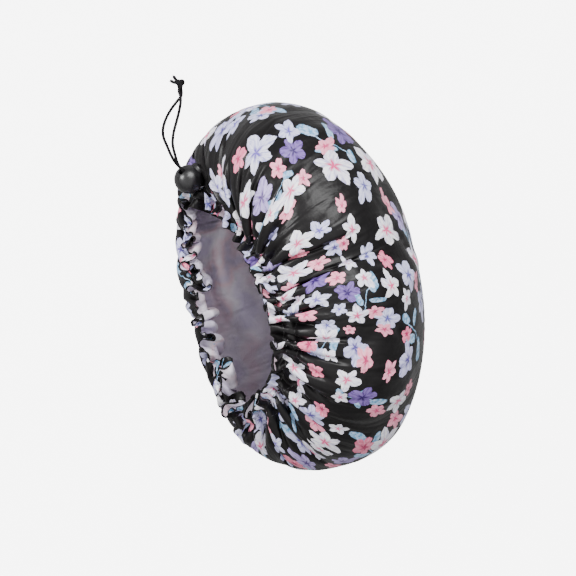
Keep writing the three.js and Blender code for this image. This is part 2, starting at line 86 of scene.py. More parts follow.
class Nodes:
    """Adds nodes to one tree. The short methods give the socket or sockets that the next node takes."""

    def __init__(self, tree, shader=None):
        self.tree, self.shader = tree, shader

    def add(self, kind, inputs=None, **settings):
        node = self.tree.nodes.new(kind)
        for name, value in settings.items():
            setattr(node, name, value)
        for key, value in (inputs or {}).items():
            if isinstance(value, bpy.types.NodeSocket):
                self.tree.links.new(value, node.inputs[key])
            else:
                node.inputs[key].default_value = value
        return node

    def feed(self, key, socket):
        self.tree.links.new(socket, self.shader.inputs[key])

    def place(self, kind="Object"):
        return self.add("ShaderNodeTexCoord").outputs[kind]

    def uv(self):
        return self.add("ShaderNodeUVMap", uv_map="UVMap").outputs[0]

    def math(self, operation, *values):
        return self.add("ShaderNodeMath", dict(enumerate(values)), operation=operation).outputs[0]

    def vector(self, operation, *values):
        made = self.add("ShaderNodeVectorMath", dict(enumerate(values)), operation=operation)
        return made.outputs[1 if operation in ("LENGTH", "DOT_PRODUCT") else 0]

    def scaled(self, place, by):
        return self.add("ShaderNodeVectorMath", {0: place, 3: by}, operation="SCALE").outputs[0]

    def axes(self, place):
        return self.add("ShaderNodeSeparateXYZ", {0: place}).outputs

    def joined(self, *axes):
        return self.add("ShaderNodeCombineXYZ", dict(enumerate(axes))).outputs[0]

    def parts(self, colour):
        return self.add("ShaderNodeSeparateColor", {0: colour}).outputs

    def fit(self, value, low=0.0, high=1.0, first=0.0, last=1.0):
        return self.add("ShaderNodeMapRange", {0: value, 1: low, 2: high, 3: first, 4: last}).outputs[0]

    def mix(self, share, under, over):
        return self.add("ShaderNodeMix", {0: share, 6: under, 7: over}, data_type="RGBA").outputs[2]

    def random(self, *key):
        return self.add("ShaderNodeTexWhiteNoise", dict(enumerate(key)), noise_dimensions=f"{2 + len(key)}D").outputs

    def noise(self, place, scale, detail, roughness=0.5, distortion=0.0, output=0):
        return self.add("ShaderNodeTexNoise", {"Vector": place, "Scale": scale, "Detail": detail,
                                               "Roughness": roughness, "Distortion": distortion}).outputs[output]

    def ramp(self, factor, stops, interpolation="LINEAR"):
        node = self.add("ShaderNodeValToRGB", {0: factor})
        node.color_ramp.interpolation = interpolation
        elements = node.color_ramp.elements
        while len(elements) < len(stops):
            elements.new(1.0)
        for element, (place, code) in zip(elements, stops):
            element.position = place
            element.color = srgb(code)
        return node.outputs[0]

    def bump(self, height, strength, distance):
        inputs = {"Height": height, "Strength": strength, "Distance": distance}
        self.feed("Normal", self.add("ShaderNodeBump", inputs).outputs[0])


def new_material(name, base, roughness, **values):
    """A material with one shader, whose uniform values sit on the shader's own sockets."""
    material = bpy.data.materials.new(name)
    material.use_nodes = True
    shader = material.node_tree.nodes["Principled BSDF"]
    shader.inputs["Base Color"].default_value = srgb(base)
    shader.inputs["Roughness"].default_value = roughness
    for key, value in values.items():
        shader.inputs[key.replace("_", " ")].default_value = value
    return material, Nodes(material.node_tree, shader)


def mesh_piece(name, points, faces, material, uv=None, smooth=True):
    """A mesh object at the origin, with its place in its points, in metres."""
    mesh = bpy.data.meshes.new(name)
    mesh.from_pydata(np.asarray(points, float).tolist(), [], [list(map(int, f)) for f in faces])
    if uv is not None:
        layer = mesh.uv_layers.new(name="UVMap")
        index = np.empty(len(mesh.loops), np.int32)
        mesh.loops.foreach_get("vertex_index", index)
        layer.data.foreach_set("uv", np.asarray(uv, np.float32)[index].ravel())
    if smooth:
        mesh.polygons.foreach_set("use_smooth", [True] * len(mesh.polygons))
    mesh.materials.append(material)
    mesh.update()
    return linked(name, mesh)


def made_mesh(name, carrier):
    """The smooth mesh that an object's modifiers make. The object itself goes."""
    made = bpy.data.meshes.new_from_object(carrier.evaluated_get(bpy.context.evaluated_depsgraph_get()))
    made.name = name
    made.polygons.foreach_set("use_smooth", [True] * len(made.polygons))
    bpy.data.objects.remove(carrier)
    return made


def unit(v):
    return v / np.maximum(np.linalg.norm(v, axis=-1, keepdims=True), 1e-9)


# Cords: the same points as the solid model's strands, in metres, from the casing to the knot, but for
# the last of each, which lie closer together.
CORD_DIAMETER = 0.0017
CORD_RADIUS = CORD_DIAMETER / 2
# The braid is squeezed in the lock and the casing, and swells to this over a short way where it is free.
FREE_RADIUS, SWELLS_OVER = 0.00104, 0.003
CORD_SIDES = 14
CASING_EXIT, LOCK_ENTRY, LOCK_EXIT = 4, 5, 8
STRAND_POINTS = {
    "strand_left": [
        (-0.06872, 0.06316, 0.02909), (-0.06804, 0.06385, 0.03058), (-0.06814, 0.06480, 0.03213),
        (-0.06885, 0.06582, 0.03349), (-0.07096, 0.06878, 0.03655), (-0.07340, 0.07152, 0.03994),
        (-0.07829, 0.07701, 0.04672), (-0.08073, 0.07975, 0.05011), (-0.08454, 0.08368, 0.05020),
        (-0.08784, 0.08928, 0.05140), (-0.09064, 0.09568, 0.04860), (-0.09324, 0.10168, 0.04060),
        (-0.09404, 0.10708, 0.03060), (-0.09324, 0.11248, 0.02000), (-0.09124, 0.11808, 0.01040),
        (-0.08824, 0.12348, 0.00420), (-0.08484, 0.12808, 0.00160), (-0.08194, 0.13198, 0.00100),
        (-0.08170, 0.13548, 0.00130),
    ],
    "strand_right": [
        (-0.06415, 0.06422, 0.03569), (-0.06545, 0.06444, 0.03431), (-0.06670, 0.06513, 0.03420),
        (-0.06772, 0.06608, 0.03512), (-0.06989, 0.06792, 0.03801), (-0.07233, 0.07067, 0.04140),
        (-0.07722, 0.07615, 0.04818), (-0.07966, 0.07890, 0.05157), (-0.08304, 0.08348, 0.05240),
        (-0.08524, 0.08988, 0.05380), (-0.08684, 0.09668, 0.04940), (-0.08684, 0.10208, 0.04180),
        (-0.08634, 0.10668, 0.03180), (-0.08534, 0.11148, 0.02140), (-0.08414, 0.11688, 0.01240),
        (-0.08304, 0.12228, 0.00640), (-0.08224, 0.12748, 0.00420), (-0.08234, 0.13148, 0.00390),
        (-0.08345, 0.13528, 0.00360),
    ],
}


def smooth_path(points, per_span=12):
    """A curve through the points that keeps its speed even, the same one as the solid model's."""
    p = np.asarray(points, float)
    p = np.vstack([2 * p[0] - p[1], p, 2 * p[-1] - p[-2]])
    out = []
    for i in range(1, len(p) - 2):
        t = [0.0]
        for j in range(3):
            t.append(t[-1] + max(np.linalg.norm(p[i + j] - p[i + j - 1]), 1e-7) ** 0.5)
        for u in np.linspace(t[1], t[2], per_span, endpoint=False):
            a = [((t[j + 1] - u) * p[i + j - 1] + (u - t[j]) * p[i + j]) / (t[j + 1] - t[j]) for j in range(3)]
            b = [((t[j + 2] - u) * a[j] + (u - t[j]) * a[j + 1]) / (t[j + 2] - t[j]) for j in range(2)]
            out.append(((t[2] - u) * b[0] + (u - t[1]) * b[1]) / (t[2] - t[1]))
    out.append(p[-2])
    return np.array(out)


def run_along(path):
    """How far along the path each of its points is."""
    return np.concatenate([[0], np.cumsum(np.linalg.norm(np.diff(path, axis=0), axis=-1))])


def laid(path, least):
    """The path, kept this high over the table."""
    path[:, 2] = np.maximum(path[:, 2], least)
    return path


def tube_mesh(path, radius, sides=CORD_SIDES):
    """Points, faces and flat coordinates of a round cord along a path, with domed ends."""
    path = np.asarray(path, float)
    count = len(path)
    tangent = unit(np.gradient(path, axis=0))
    side = np.zeros_like(path)
    first = np.cross(tangent[0], (0.0, 0.0, 1.0))
    if np.linalg.norm(first) < 0.1:
        first = np.cross(tangent[0], (1.0, 0.0, 0.0))
    side[0] = unit(first)
    for i in range(1, count):
        side[i] = unit(side[i - 1] - tangent[i] * (side[i - 1] @ tangent[i]))
    up = np.cross(tangent, side)
    run = run_along(path)
    rings = [(path[i], tangent[i], side[i], up[i], np.broadcast_to(radius, count)[i], run[i]) for i in range(count)]
    for end, way in ((0, -1), (-1, 1)):
        caps = []
        for share in (0.45, 0.8, 0.98):
            c, t, s, u, r, l = rings[end]
            height = r * math.sin(share * math.pi / 2)
            caps.append((c + way * t * height, t, s, u, r * math.cos(share * math.pi / 2), l + way * height))
        rings = caps[::-1] + rings if way < 0 else rings + caps
    angle = np.linspace(0, TURN, sides, endpoint=False)
    points, uv = [], []
    for c, _t, s, u, r, l in rings:
        points.append(c + r * (np.cos(angle)[:, None] * s + np.sin(angle)[:, None] * u))
        uv.append(np.stack([np.minimum(angle, TURN - angle) / math.pi, np.full(sides, l / MM)], -1))
    faces = []
    last = (len(rings) - 1) * sides
    for a in range(0, last, sides):
        faces += [(a + k, a + (k + 1) % sides, a + sides + (k + 1) % sides, a + sides + k) for k in range(sides)]
    faces += [tuple(range(sides))[::-1], tuple(range(last, last + sides))]
    return np.concatenate(points), faces, np.concatenate(uv)


def joined(parts):
    """Several meshes as one set of points, faces and flat coordinates."""
    points, faces, uv, base = [], [], [], 0
    for p, f, m in parts:
        points.append(p)
        faces += [tuple(base + k for k in face) for face in f]
        uv.append(m)
        base += len(p)
    return np.concatenate(points), faces, np.concatenate(uv)


# Polyester cord: a round braid of fine filaments, black, with a soft sheen on each carrier's crown, partly from the
# shader and partly a painted highlight.
CARRIER_LENGTH_MM = 1.1
cord_braid, braid = new_material(
    "braided_polyester_cord", "#0d0c0e", 0.65, Specular_IOR_Level=0.12, Sheen_Weight=0.03, Sheen_Roughness=0.4)
cord_uv = braid.uv()
cord_axes = braid.axes(cord_uv)
round_turn = braid.math("MULTIPLY", cord_axes[0], 2 * TURN)
along_turn = braid.math("MULTIPLY", cord_axes[1], TURN / CARRIER_LENGTH_MM)
one_way, other_way = (braid.math("SINE", braid.math(sign, round_turn, along_turn)) for sign in ("ADD", "SUBTRACT"))
crowns = braid.math("MAXIMUM", one_way, other_way)
braid.bump(braid.math("MULTIPLY_ADD", braid.noise(cord_uv, 9.0, 3.0), 0.5, crowns), 0.2, 0.0001)
# Painted highlight: the base colour is a shade lighter on the carriers' crowns than between them.
braid.feed("Base Color", braid.mix(braid.fit(crowns, -0.6, 1.0), srgb("#0c0b0d"), srgb("#111012")))


def cord_piece(name, points, faces, uv):
    return mesh_piece(name, points, faces, cord_braid, uv=uv)


# The knot: both strands go once round in an overhand knot, then end in short frayed tails.
KNOT_CENTRE = np.array([-0.08264, 0.14048, 0.0034])
KNOT_STRETCH = np.array([0.9, 1.08, 0.85])
# Each winding's start, its size and how high it lies.
WINDINGS = ((0.0, 0.00094, 0.0003), (0.55, 0.00080, -0.0003), (1.2, 0.00050, 0.0009))
TAIL_TURNS = [math.radians(128), math.radians(160)]
TAIL_START, TAIL_LENGTH, TAIL_DROP = 0.0012, 0.0062, 0.0021
FIBRES_PER_TAIL = 16


def overhand(phase, scale, lift):
    """One strand's way through the knot."""
    t = np.linspace(-0.15 * math.pi, 1.75 * math.pi, 90) + phase
    x = np.sin(t) + 2 * np.sin(2 * t)
    y = np.cos(t) - 2 * np.cos(2 * t)
    z = -np.sin(3 * t)
    return KNOT_CENTRE + np.stack([x, y, z], -1) * scale * KNOT_STRETCH + np.array([0, 0, lift])


knot_rng = np.random.default_rng(21)
knot_parts = [tube_mesh(laid(overhand(*winding), FREE_RADIUS), FREE_RADIUS) for winding in WINDINGS]
for turn in TAIL_TURNS:
    way = np.array([math.cos(turn), math.sin(turn), 0.0])
    across = np.array([-math.sin(turn), math.cos(turn), 0.0])
    run = np.linspace(0, 1, 12)[:, None]
    tail = (KNOT_CENTRE + way * TAIL_START + np.array([0, 0, 0.0004]) + way * (TAIL_LENGTH - TAIL_START) * run
            + across * 0.0006 * np.sin(2.4 * run) - np.array([0, 0, TAIL_DROP]) * run ** 1.5)
    laid(tail, FREE_RADIUS)
    knot_parts.append(tube_mesh(tail, FREE_RADIUS * np.linspace(1, 1.12, 12)))
    for _ in range(FIBRES_PER_TAIL):
        spread = knot_rng.normal(0, 1, 3) * (0.00045, 0.00045, 0.0003)
        root = tail[-1] + spread * 0.9 - way * 0.0004
        lean = way + across * knot_rng.normal(0, 0.35) + np.array([0, 0, knot_rng.normal(0, 0.25)])
        share = np.linspace(0, 1, 5)[:, None]
        fibre = root + unit(lean) * knot_rng.uniform(0.0012, 0.0024) * share
        fibre = fibre + across * knot_rng.normal(0, 0.0003) * share ** 2
        knot_parts.append(tube_mesh(laid(fibre, 0.0002), 0.00009 * np.linspace(1, 0.6, 5), 4))
knot = cord_piece("cord_knot", *joined(knot_parts))
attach(knot, "lock")
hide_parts("drawcord_knot")

for name, points in STRAND_POINTS.items():
    into_knot = np.array(points[-1]) * 0.55 + KNOT_CENTRE * 0.45
    path = smooth_path(points + [tuple(into_knot)])
    run = run_along(path)
    leaves_lock = run[np.argmin(np.linalg.norm(path - np.array(points[LOCK_EXIT]), axis=-1))]
    radius = np.interp(run - leaves_lock, [0.0, SWELLS_OVER], [CORD_RADIUS, FREE_RADIUS])
    piece = cord_piece(name, *tube_mesh(laid(path, radius), radius))
    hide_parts("drawcord_" + name)
    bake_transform(piece)


# The cap's cloth, in millimetres until it becomes a mesh. Its body is a slumped pillow on the table,
# and its gathered mouth a tilted loop on the pillow's left side. The values are the solid model's.
BODY_HALF_LENGTH, BODY_HALF_WIDTH, BODY_ALONG = 129.0, 81.3, 2.2
BODY_RISE, BODY_SAG, BELT_HEIGHT = 94.0, 46.0, 38.0
BODY_TURN, MOUTH_TURN, CROWN_DIP = math.radians(14.7), math.radians(13.2), math.radians(30)
SIDE_FULLNESS, MOUTH_SIDE_FULLNESS = 2.7, 2.5
END_BULGE_SHARE, END_BULGE = 0.9, (0.56, 0.76, 0.36)
MOUTH_HALF_LENGTH, MOUTH_HALF_WIDTH, MOUTH_ALONG, MOUTH_ACROSS = 80.5, 27.0, -1.8, 50.4
UPPER_LIP_BULGE, UPPER_LIP_SKEW = 11.0, -18.0
UPPER_LIP_HEIGHT, LOWER_LIP_HEIGHT, LOCK_END_HEIGHT, FAR_END_HEIGHT = 118.0, 42.0, 32.0, 45.0
NECK_SHARE, CASING_KICK_SHARE = 0.34, 0.4
FRILL_KICKS = np.radians([15, 32, 45, 45, 45, 40, 35, 12, 28, 84, 48, 28])
FRILL_UNEVEN = math.radians(13)
MODEL_SHIFT = np.array([0.41759, -1.02778, 0.0])
LOCK_PLACE = np.array([-76.04, 73.08, 44.15])
BALL_CENTRE = LOCK_PLACE - MODEL_SHIFT

# The flat cut: a disc, with the drawcord's line this far from its middle and a frill outside it.
CORD_RADIUS_FLAT = 238.0
FRILL_WIDTH = 14.0
CASING_HALF_WIDTH = 5.0
COLUMNS = 384
PLEATS = 47
HALF_GAP = 0.3
TABLE_CLEARANCE = 0.9
LUMEN = 1.2

UP = np.array([0.0, 0.0, 1.0])
(ALONG, ACROSS), (MOUTH_LONG_WAY, MOUTH_SHORT_WAY) = (
    (np.array([-math.sin(a), math.cos(a), 0.0]), np.array([-math.cos(a), -math.sin(a), 0.0]))
    for a in (BODY_TURN, MOUTH_TURN))
BODY_CENTRE = ALONG * BODY_ALONG + UP * BELT_HEIGHT


def fullness(d):
    """How far out a direction reaches, 1 on the pillow's skin."""
    corner = np.where(d[..., 1] > 0, MOUTH_SIDE_FULLNESS, 2.0)
    plan = (np.abs(d[..., 0]) ** corner + np.abs(d[..., 1]) ** corner) ** (1 / corner)
    return (plan ** SIDE_FULLNESS + np.abs(d[..., 2]) ** SIDE_FULLNESS) ** (1 / SIDE_FULLNESS)


def body_direction(p):
    q = p - BODY_CENTRE
    height = np.where(q[..., 2] > 0, BODY_RISE, BODY_SAG)
    return np.stack([q @ ALONG / BODY_HALF_LENGTH, q @ ACROSS / BODY_HALF_WIDTH, q[..., 2] / height], -1)


def from_direction(d):
    height = np.where(d[..., 2] > 0, BODY_RISE, BODY_SAG)
    return (BODY_CENTRE + d[..., :1] * BODY_HALF_LENGTH * ALONG + d[..., 1:2] * BODY_HALF_WIDTH * ACROSS
            + (d[..., 2] * height)[..., None] * UP)


def mouth_point(turn):
    """A point of the drawcord's line round the mouth."""
    c, s = np.cos(turn), np.sin(turn)
    end = (LOCK_END_HEIGHT + FAR_END_HEIGHT) / 2
    lip = (UPPER_LIP_HEIGHT + LOWER_LIP_HEIGHT) / 2
    along = MOUTH_ALONG + MOUTH_HALF_LENGTH * c + UPPER_LIP_SKEW * s * s * (1 + s) / 2
    across = MOUTH_ACROSS - MOUTH_HALF_WIDTH * s - UPPER_LIP_BULGE * s * s
    height = (end + (LOCK_END_HEIGHT - FAR_END_HEIGHT) / 2 * c
              + (UPPER_LIP_HEIGHT - LOWER_LIP_HEIGHT) / 2 * s + (lip - end) * s * s)
    return along[..., None] * MOUTH_LONG_WAY + across[..., None] * MOUTH_SHORT_WAY + height[..., None] * UP


def mouth_tangent(turn):
    e = 0.02
    return unit(mouth_point(turn + e) - mouth_point(turn - e))


def dome_point(turn, share):
    """A point of the smooth pillow, from the mouth's line at share 0 to the crown at 1."""
    turn, share = np.broadcast_arrays(turn, share)
    rim = body_direction(mouth_point(turn))
    rim_share = fullness(rim)
    rim = unit(rim)
    crown = np.array([0.0, -math.cos(CROWN_DIP), -math.sin(CROWN_DIP)])
    angle = np.arccos(np.clip(rim @ crown, -1, 1))
    d = ((np.sin((1 - share) * angle) / np.sin(angle))[..., None] * rim
         + (np.sin(share * angle) / np.sin(angle))[..., None] * crown)
    end = np.cos(turn) ** 3
    bulge = END_BULGE_SHARE * np.sin(math.pi * share) ** 2
    d = d + bulge[..., None] * np.stack(
        [END_BULGE[0] * end, END_BULGE[1] * np.abs(end), END_BULGE[2] * np.abs(end)], -1)
    d = unit(d)
    neck = np.maximum(0, 1 - share / NECK_SHARE)
    reach = (1 - (1 - rim_share) * neck * neck) / fullness(d)
    return from_direction(d * reach[..., None])


def frill_direction(turn, share):
    """Which way the frill stands from the drawcord's line: back into the mouth, kicked outwards."""
    n = len(FRILL_KICKS)
    place = (turn / TURN) % 1 * n
    first = np.floor(place).astype(int)
    ease = (1 - np.cos(math.pi * (place - first))) / 2
    kick = FRILL_KICKS[first % n] * (1 - ease) + FRILL_KICKS[(first + 1) % n] * ease
    uneven = FRILL_UNEVEN * (np.sin(7 * turn + 0.6) + np.sin(13 * turn + 2.2))
    kick = share * (kick + uneven * np.clip(np.sin(turn / 2), 0, 1))
    inward = unit(dome_point(turn, np.full_like(turn, 0.07)) - mouth_point(turn))
    outward = unit(np.cross(mouth_tangent(turn), inward))
    return unit(-inward * np.cos(kick)[..., None] + outward * np.sin(kick)[..., None])


def flat_rows():
    """Distances of the cloth's rows from the drawcord's line, minus towards the frill's edge."""
    rows = [-FRILL_WIDTH, -12.0, -9.8, -7.4, -5.0, -2.5, 0.0, 2.5, 5.0]
    step = 2.6
    while rows[-1] < CORD_RADIUS_FLAT - 12:
        rows.append(rows[-1] + step)
        step = min(step * 1.05, 5.2)
    rows[-1] = CORD_RADIUS_FLAT - 9
    return np.array(rows)


def smooth_ring(values, width):
    """A soft moving mean round the ring, its width in columns."""
    reach = np.arange(-3 * width, 3 * width + 1)
    weight = np.exp(-0.5 * (reach / width) ** 2)
    weight /= weight.sum()
    n = len(values)
    return np.convolve(np.concatenate([values] * 3), weight, "same")[n:2 * n]


def fold_angle(ratio):
    """How steeply a line of cloth winds to and fro when it is gathered to this share of its length."""
    angle = np.linspace(0, 2.3, 400)
    place = np.linspace(0, TURN, 200, endpoint=False)
    share = np.cos(angle[:, None] * np.cos(place)[None]).mean(1)
    return np.interp(-ratio, -share, angle)


# How much longer each row of cloth may be than the smooth pillow under it: full gathers at the casing,
# and only soft fullness where the air fills the body out.
GATHER_LEFT = ([6, 16, 28, 50, 90, 150, 240], [2.8, 2.0, 1.45, 1.15, 1.06, 1.03, 1.02])


def gather_limit(rho, theta):
    """The same at every column: some stretches of the rim keep long folds, others smooth out at once."""
    uneven = 0.75 + 0.45 * np.sin(6 * theta + 1.1 + 1.3 * np.sin(2 * theta)) + 0.35 * np.sin(11 * theta + 2.0)
    limit = np.interp(rho, *GATHER_LEFT)
    share = np.interp(rho, [12, 30], [0, 1])
    return 1 + (limit - 1)[..., None] * (1 - share[..., None] + share[..., None] * np.clip(uneven, 0.1, 1.6))


# The gathers lie closer together on the upper lip than on the lower one.
CLOSER_ON_UPPER_LIP = 0.24
# Each family of folds: how many go round, their unevenness, and where down the cloth they live. The last
# is the frill's free edge, where the gathers open into wider ruffles.
FOLD_FAMILIES = [(PLEATS, 0.85, 0.0, 16.0), (25, 0.6, 26.0, 26.0), (14, 0.7, 66.0, 36.0), (9, 0.6, 130.0, 60.0),
                 (23, 1.0, -22.0, 13.0)]
# The steepest that a fold may wind, in the casing and elsewhere, and how close to the lock it lies flatter.
STEEPEST_IN_CASING, STEEPEST = 1.45, 1.9
FLAT_AT_LOCK, FLAT_AT_LOCK_REACH = 0.8, 7.0

# The main folds: where each starts and ends as shares of the turn and of the dome, and its depth's share.
MAIN_FOLD_DEPTH, MAIN_FOLD_WIDTH = 9.0, 0.015
MAIN_FOLDS = [
    (0.194, 0.219, 0.05, 0.52, 1.0), (0.281, 0.279, 0.04, 0.44, 0.5), (0.355, 0.342, 0.04, 0.56, 0.8),
    (0.092, 0.130, 0.04, 0.50, 0.7), (0.125, 0.150, 0.04, 0.46, 0.6), (0.153, 0.169, 0.04, 0.44, 0.5),
    (0.417, 0.389, 0.04, 0.46, 0.6),
]


def main_fold_depth(turn, share):
    place, depth = turn / TURN, 0.0
    for start, stop, first, last, deep in MAIN_FOLDS:
        along = np.clip((share - first) / (last - first), 0, 1)
        off = (place - start - (stop - start) * along) / MAIN_FOLD_WIDTH
        depth = depth + deep * np.sin(math.pi * along) * np.exp(-off * off)
    return MAIN_FOLD_DEPTH * depth


# Soft folds on the body and in the loose lining: how many, and the ranges of their places down the cloth, and of
# their lengths, widths and depths.
BODY_CREASES = {"count": 90, "downs": (0.08, 0.63), "lengths": (0.04, 0.13), "widths": (0.005, 0.011),
                "depths": (0.8, 2.8)}
LINING_FOLDS = {"count": 110, "downs": (0.15, 0.95), "lengths": (0.08, 0.22), "widths": (0.012, 0.035),
                "depths": (3.0, 9.0)}


def soft_creases(turn, share, rng, count, downs, lengths, widths, depths):
    """Ridges and hollows, most of them running from the mouth towards the crown."""
    place, height = turn / TURN, 0.0
    for _ in range(count):
        at, down = rng.uniform(0, 1), downs[0] + (downs[1] - downs[0]) * rng.uniform(0, 1) ** 1.3
        slant, length = rng.normal(0, 0.4), rng.uniform(*lengths)
        width, deep = rng.uniform(*widths), rng.uniform(*depths) * rng.choice([-1, 1])
        along = (share - down) / length
        off = ((place - at - slant * (share - down) + 0.5) % 1 - 0.5) / width
        height = height + deep * np.exp(-along * along - off * off)
    return height


def gathered_start(rho, rng):
    """The cloth laid in folds over the pillow, each row as long as it is in the flat cut."""
    theta = np.linspace(0, TURN, COLUMNS, endpoint=False)
    fine = np.linspace(0, TURN, 2000)
    arc = run_along(mouth_point(fine))
    turn = np.interp(theta / TURN * arc[-1], arc, fine)

    def wobble(amount):
        out = np.zeros_like(theta)
        for k in range(1, 9):
            out += rng.normal() * np.cos(k * theta + rng.uniform(0, 6.28)) / math.sqrt(k)
        return amount * out

    waves = []
    for count, jitter, middle, reach in FOLD_FAMILIES:
        phase = count * (theta - CLOSER_ON_UPPER_LIP * np.cos(theta)) + wobble(jitter) + rng.uniform(0, 6.28)
        uneven = (1 + 0.25 * np.cos(theta * rng.integers(3, 8) + rng.uniform(0, 6.28))
                  + 0.15 * np.cos(theta * rng.integers(9, 15)))
        waves.append((np.cos(phase) * uneven, middle, reach))

    share_fine = np.linspace(0, 1, 260)
    dome = dome_point(turn[:, None], share_fine[None])
    dome_arc = np.array([run_along(line) for line in dome])
    mouth = mouth_point(turn)
    casing_way, free_way = frill_direction(turn, CASING_KICK_SHARE), frill_direction(turn, 1.0)
    base = np.zeros((len(rho), COLUMNS, 3))
    dome_share = np.zeros((len(rho), COLUMNS))
    for i, d in enumerate(rho):
        if d < 0:
            base[i] = mouth + casing_way * min(-d, CASING_HALF_WIDTH) + free_way * max(-d - CASING_HALF_WIDTH, 0.0)
            continue
        for c in range(COLUMNS):
            k = np.interp(d / CORD_RADIUS_FLAT * dome_arc[c, -1], dome_arc[c], np.arange(len(share_fine)))
            j = min(int(k), len(share_fine) - 2)
            dome_share[i, c] = k / (len(share_fine) - 1)
            base[i, c] = dome[c, j] * (1 - (k - j)) + dome[c, j + 1] * (k - j)

    relief = soft_creases(turn[None], dome_share, np.random.default_rng(19), **BODY_CREASES)
    relief = relief * np.clip(dome_share / BODY_CREASES["downs"][0], 0, 1) - main_fold_depth(turn[None], dome_share)
    base = base + cloth_normals(base) * relief[..., None]
    base[..., 2] = np.maximum(base[..., 2], TABLE_CLEARANCE)
    grid, normals = np.zeros_like(base), np.zeros_like(base)
    from_lock = np.minimum(theta, TURN - theta) / TURN * arc[-1]
    at_lock = 1 - FLAT_AT_LOCK * np.exp(-(from_lock / FLAT_AT_LOCK_REACH) ** 2)
    for i, d in enumerate(rho):
        flat = CORD_RADIUS_FLAT - d
        row = base[i]
        tangent = np.roll(row, -1, 0) - np.roll(row, 1, 0)
        speed = smooth_ring(np.linalg.norm(tangent, axis=-1) / (2 * (theta[1] - theta[0])), 4)
        tangent = unit(tangent)
        down = base[min(i + 1, len(rho) - 1)] - base[max(i - 1, 0)]
        normal = unit(np.cross(tangent, down))
        normal = unit(np.stack([smooth_ring(normal[:, k], 5) for k in range(3)], -1))
        limit = gather_limit(np.array(d), theta)
        steep = fold_angle(np.clip(speed / flat, 1 / limit, 1.0))
        wave = sum(w * math.exp(-((d - middle) / reach) ** 2) for w, middle, reach in waves)
        wave /= max(math.sqrt((wave ** 2).mean() * 2), 0.05)
        if abs(d) <= CASING_HALF_WIDTH:
            steep = np.minimum(steep, STEEPEST_IN_CASING) * at_lock
        else:
            steep = np.minimum(steep, STEEPEST)
        angle = steep * wave
        step = np.minimum(flat, speed * limit) * (theta[1] - theta[0])
        width = 7 if d < 20 else 14 if d < 50 else 24
        rise = np.cumsum(np.sin(angle) * step)
        rise -= smooth_ring(rise, width)
        run = np.cumsum(np.cos(angle) * step)
        run -= np.linspace(0, 1, COLUMNS) * run[-1]
        run -= smooth_ring(run, width)
        grid[i] = row + tangent * run[:, None] + normal * rise[:, None]
        normals[i] = normal
    return theta, turn, base, normals, grid


def cloth_normals(p):
    du = np.roll(p, -1, 1) - np.roll(p, 1, 1)
    dv = np.empty_like(p)
    dv[1:-1] = p[2:] - p[:-2]
    dv[0] = p[1] - p[0]
    dv[-1] = p[-1] - p[-2]
    return unit(np.cross(du, dv))


SETTLE_STEPS = 260
PUSH_OUT, CLOTH_WEIGHT, SPEED_KEPT = 0.04, 0.012, 0.9
# How strongly threads hold the weave square, and keep a fold from closing up.
SHEAR_HOLD, BEND_HOLD, BEND_ROUND, BEND_DOWN = 0.12, 0.35, 0.72, 0.93
# How strongly the frill keeps its lay, and the table and the crown theirs.
FRILL_HOLD, TABLE_HOLD = 0.03, 0.35
LAYER_ROOM, BALL_ROOM, CORD_ROOM = 1.5, 11.0, 2.2
LEAST_FULL = ([5, 14, 40, 75], [0.6, 0.82, 0.94, 0.98])
MOST_FULL = ([5, 14, 40, 75], [1.3, 1.1, 1.04, 1.02])


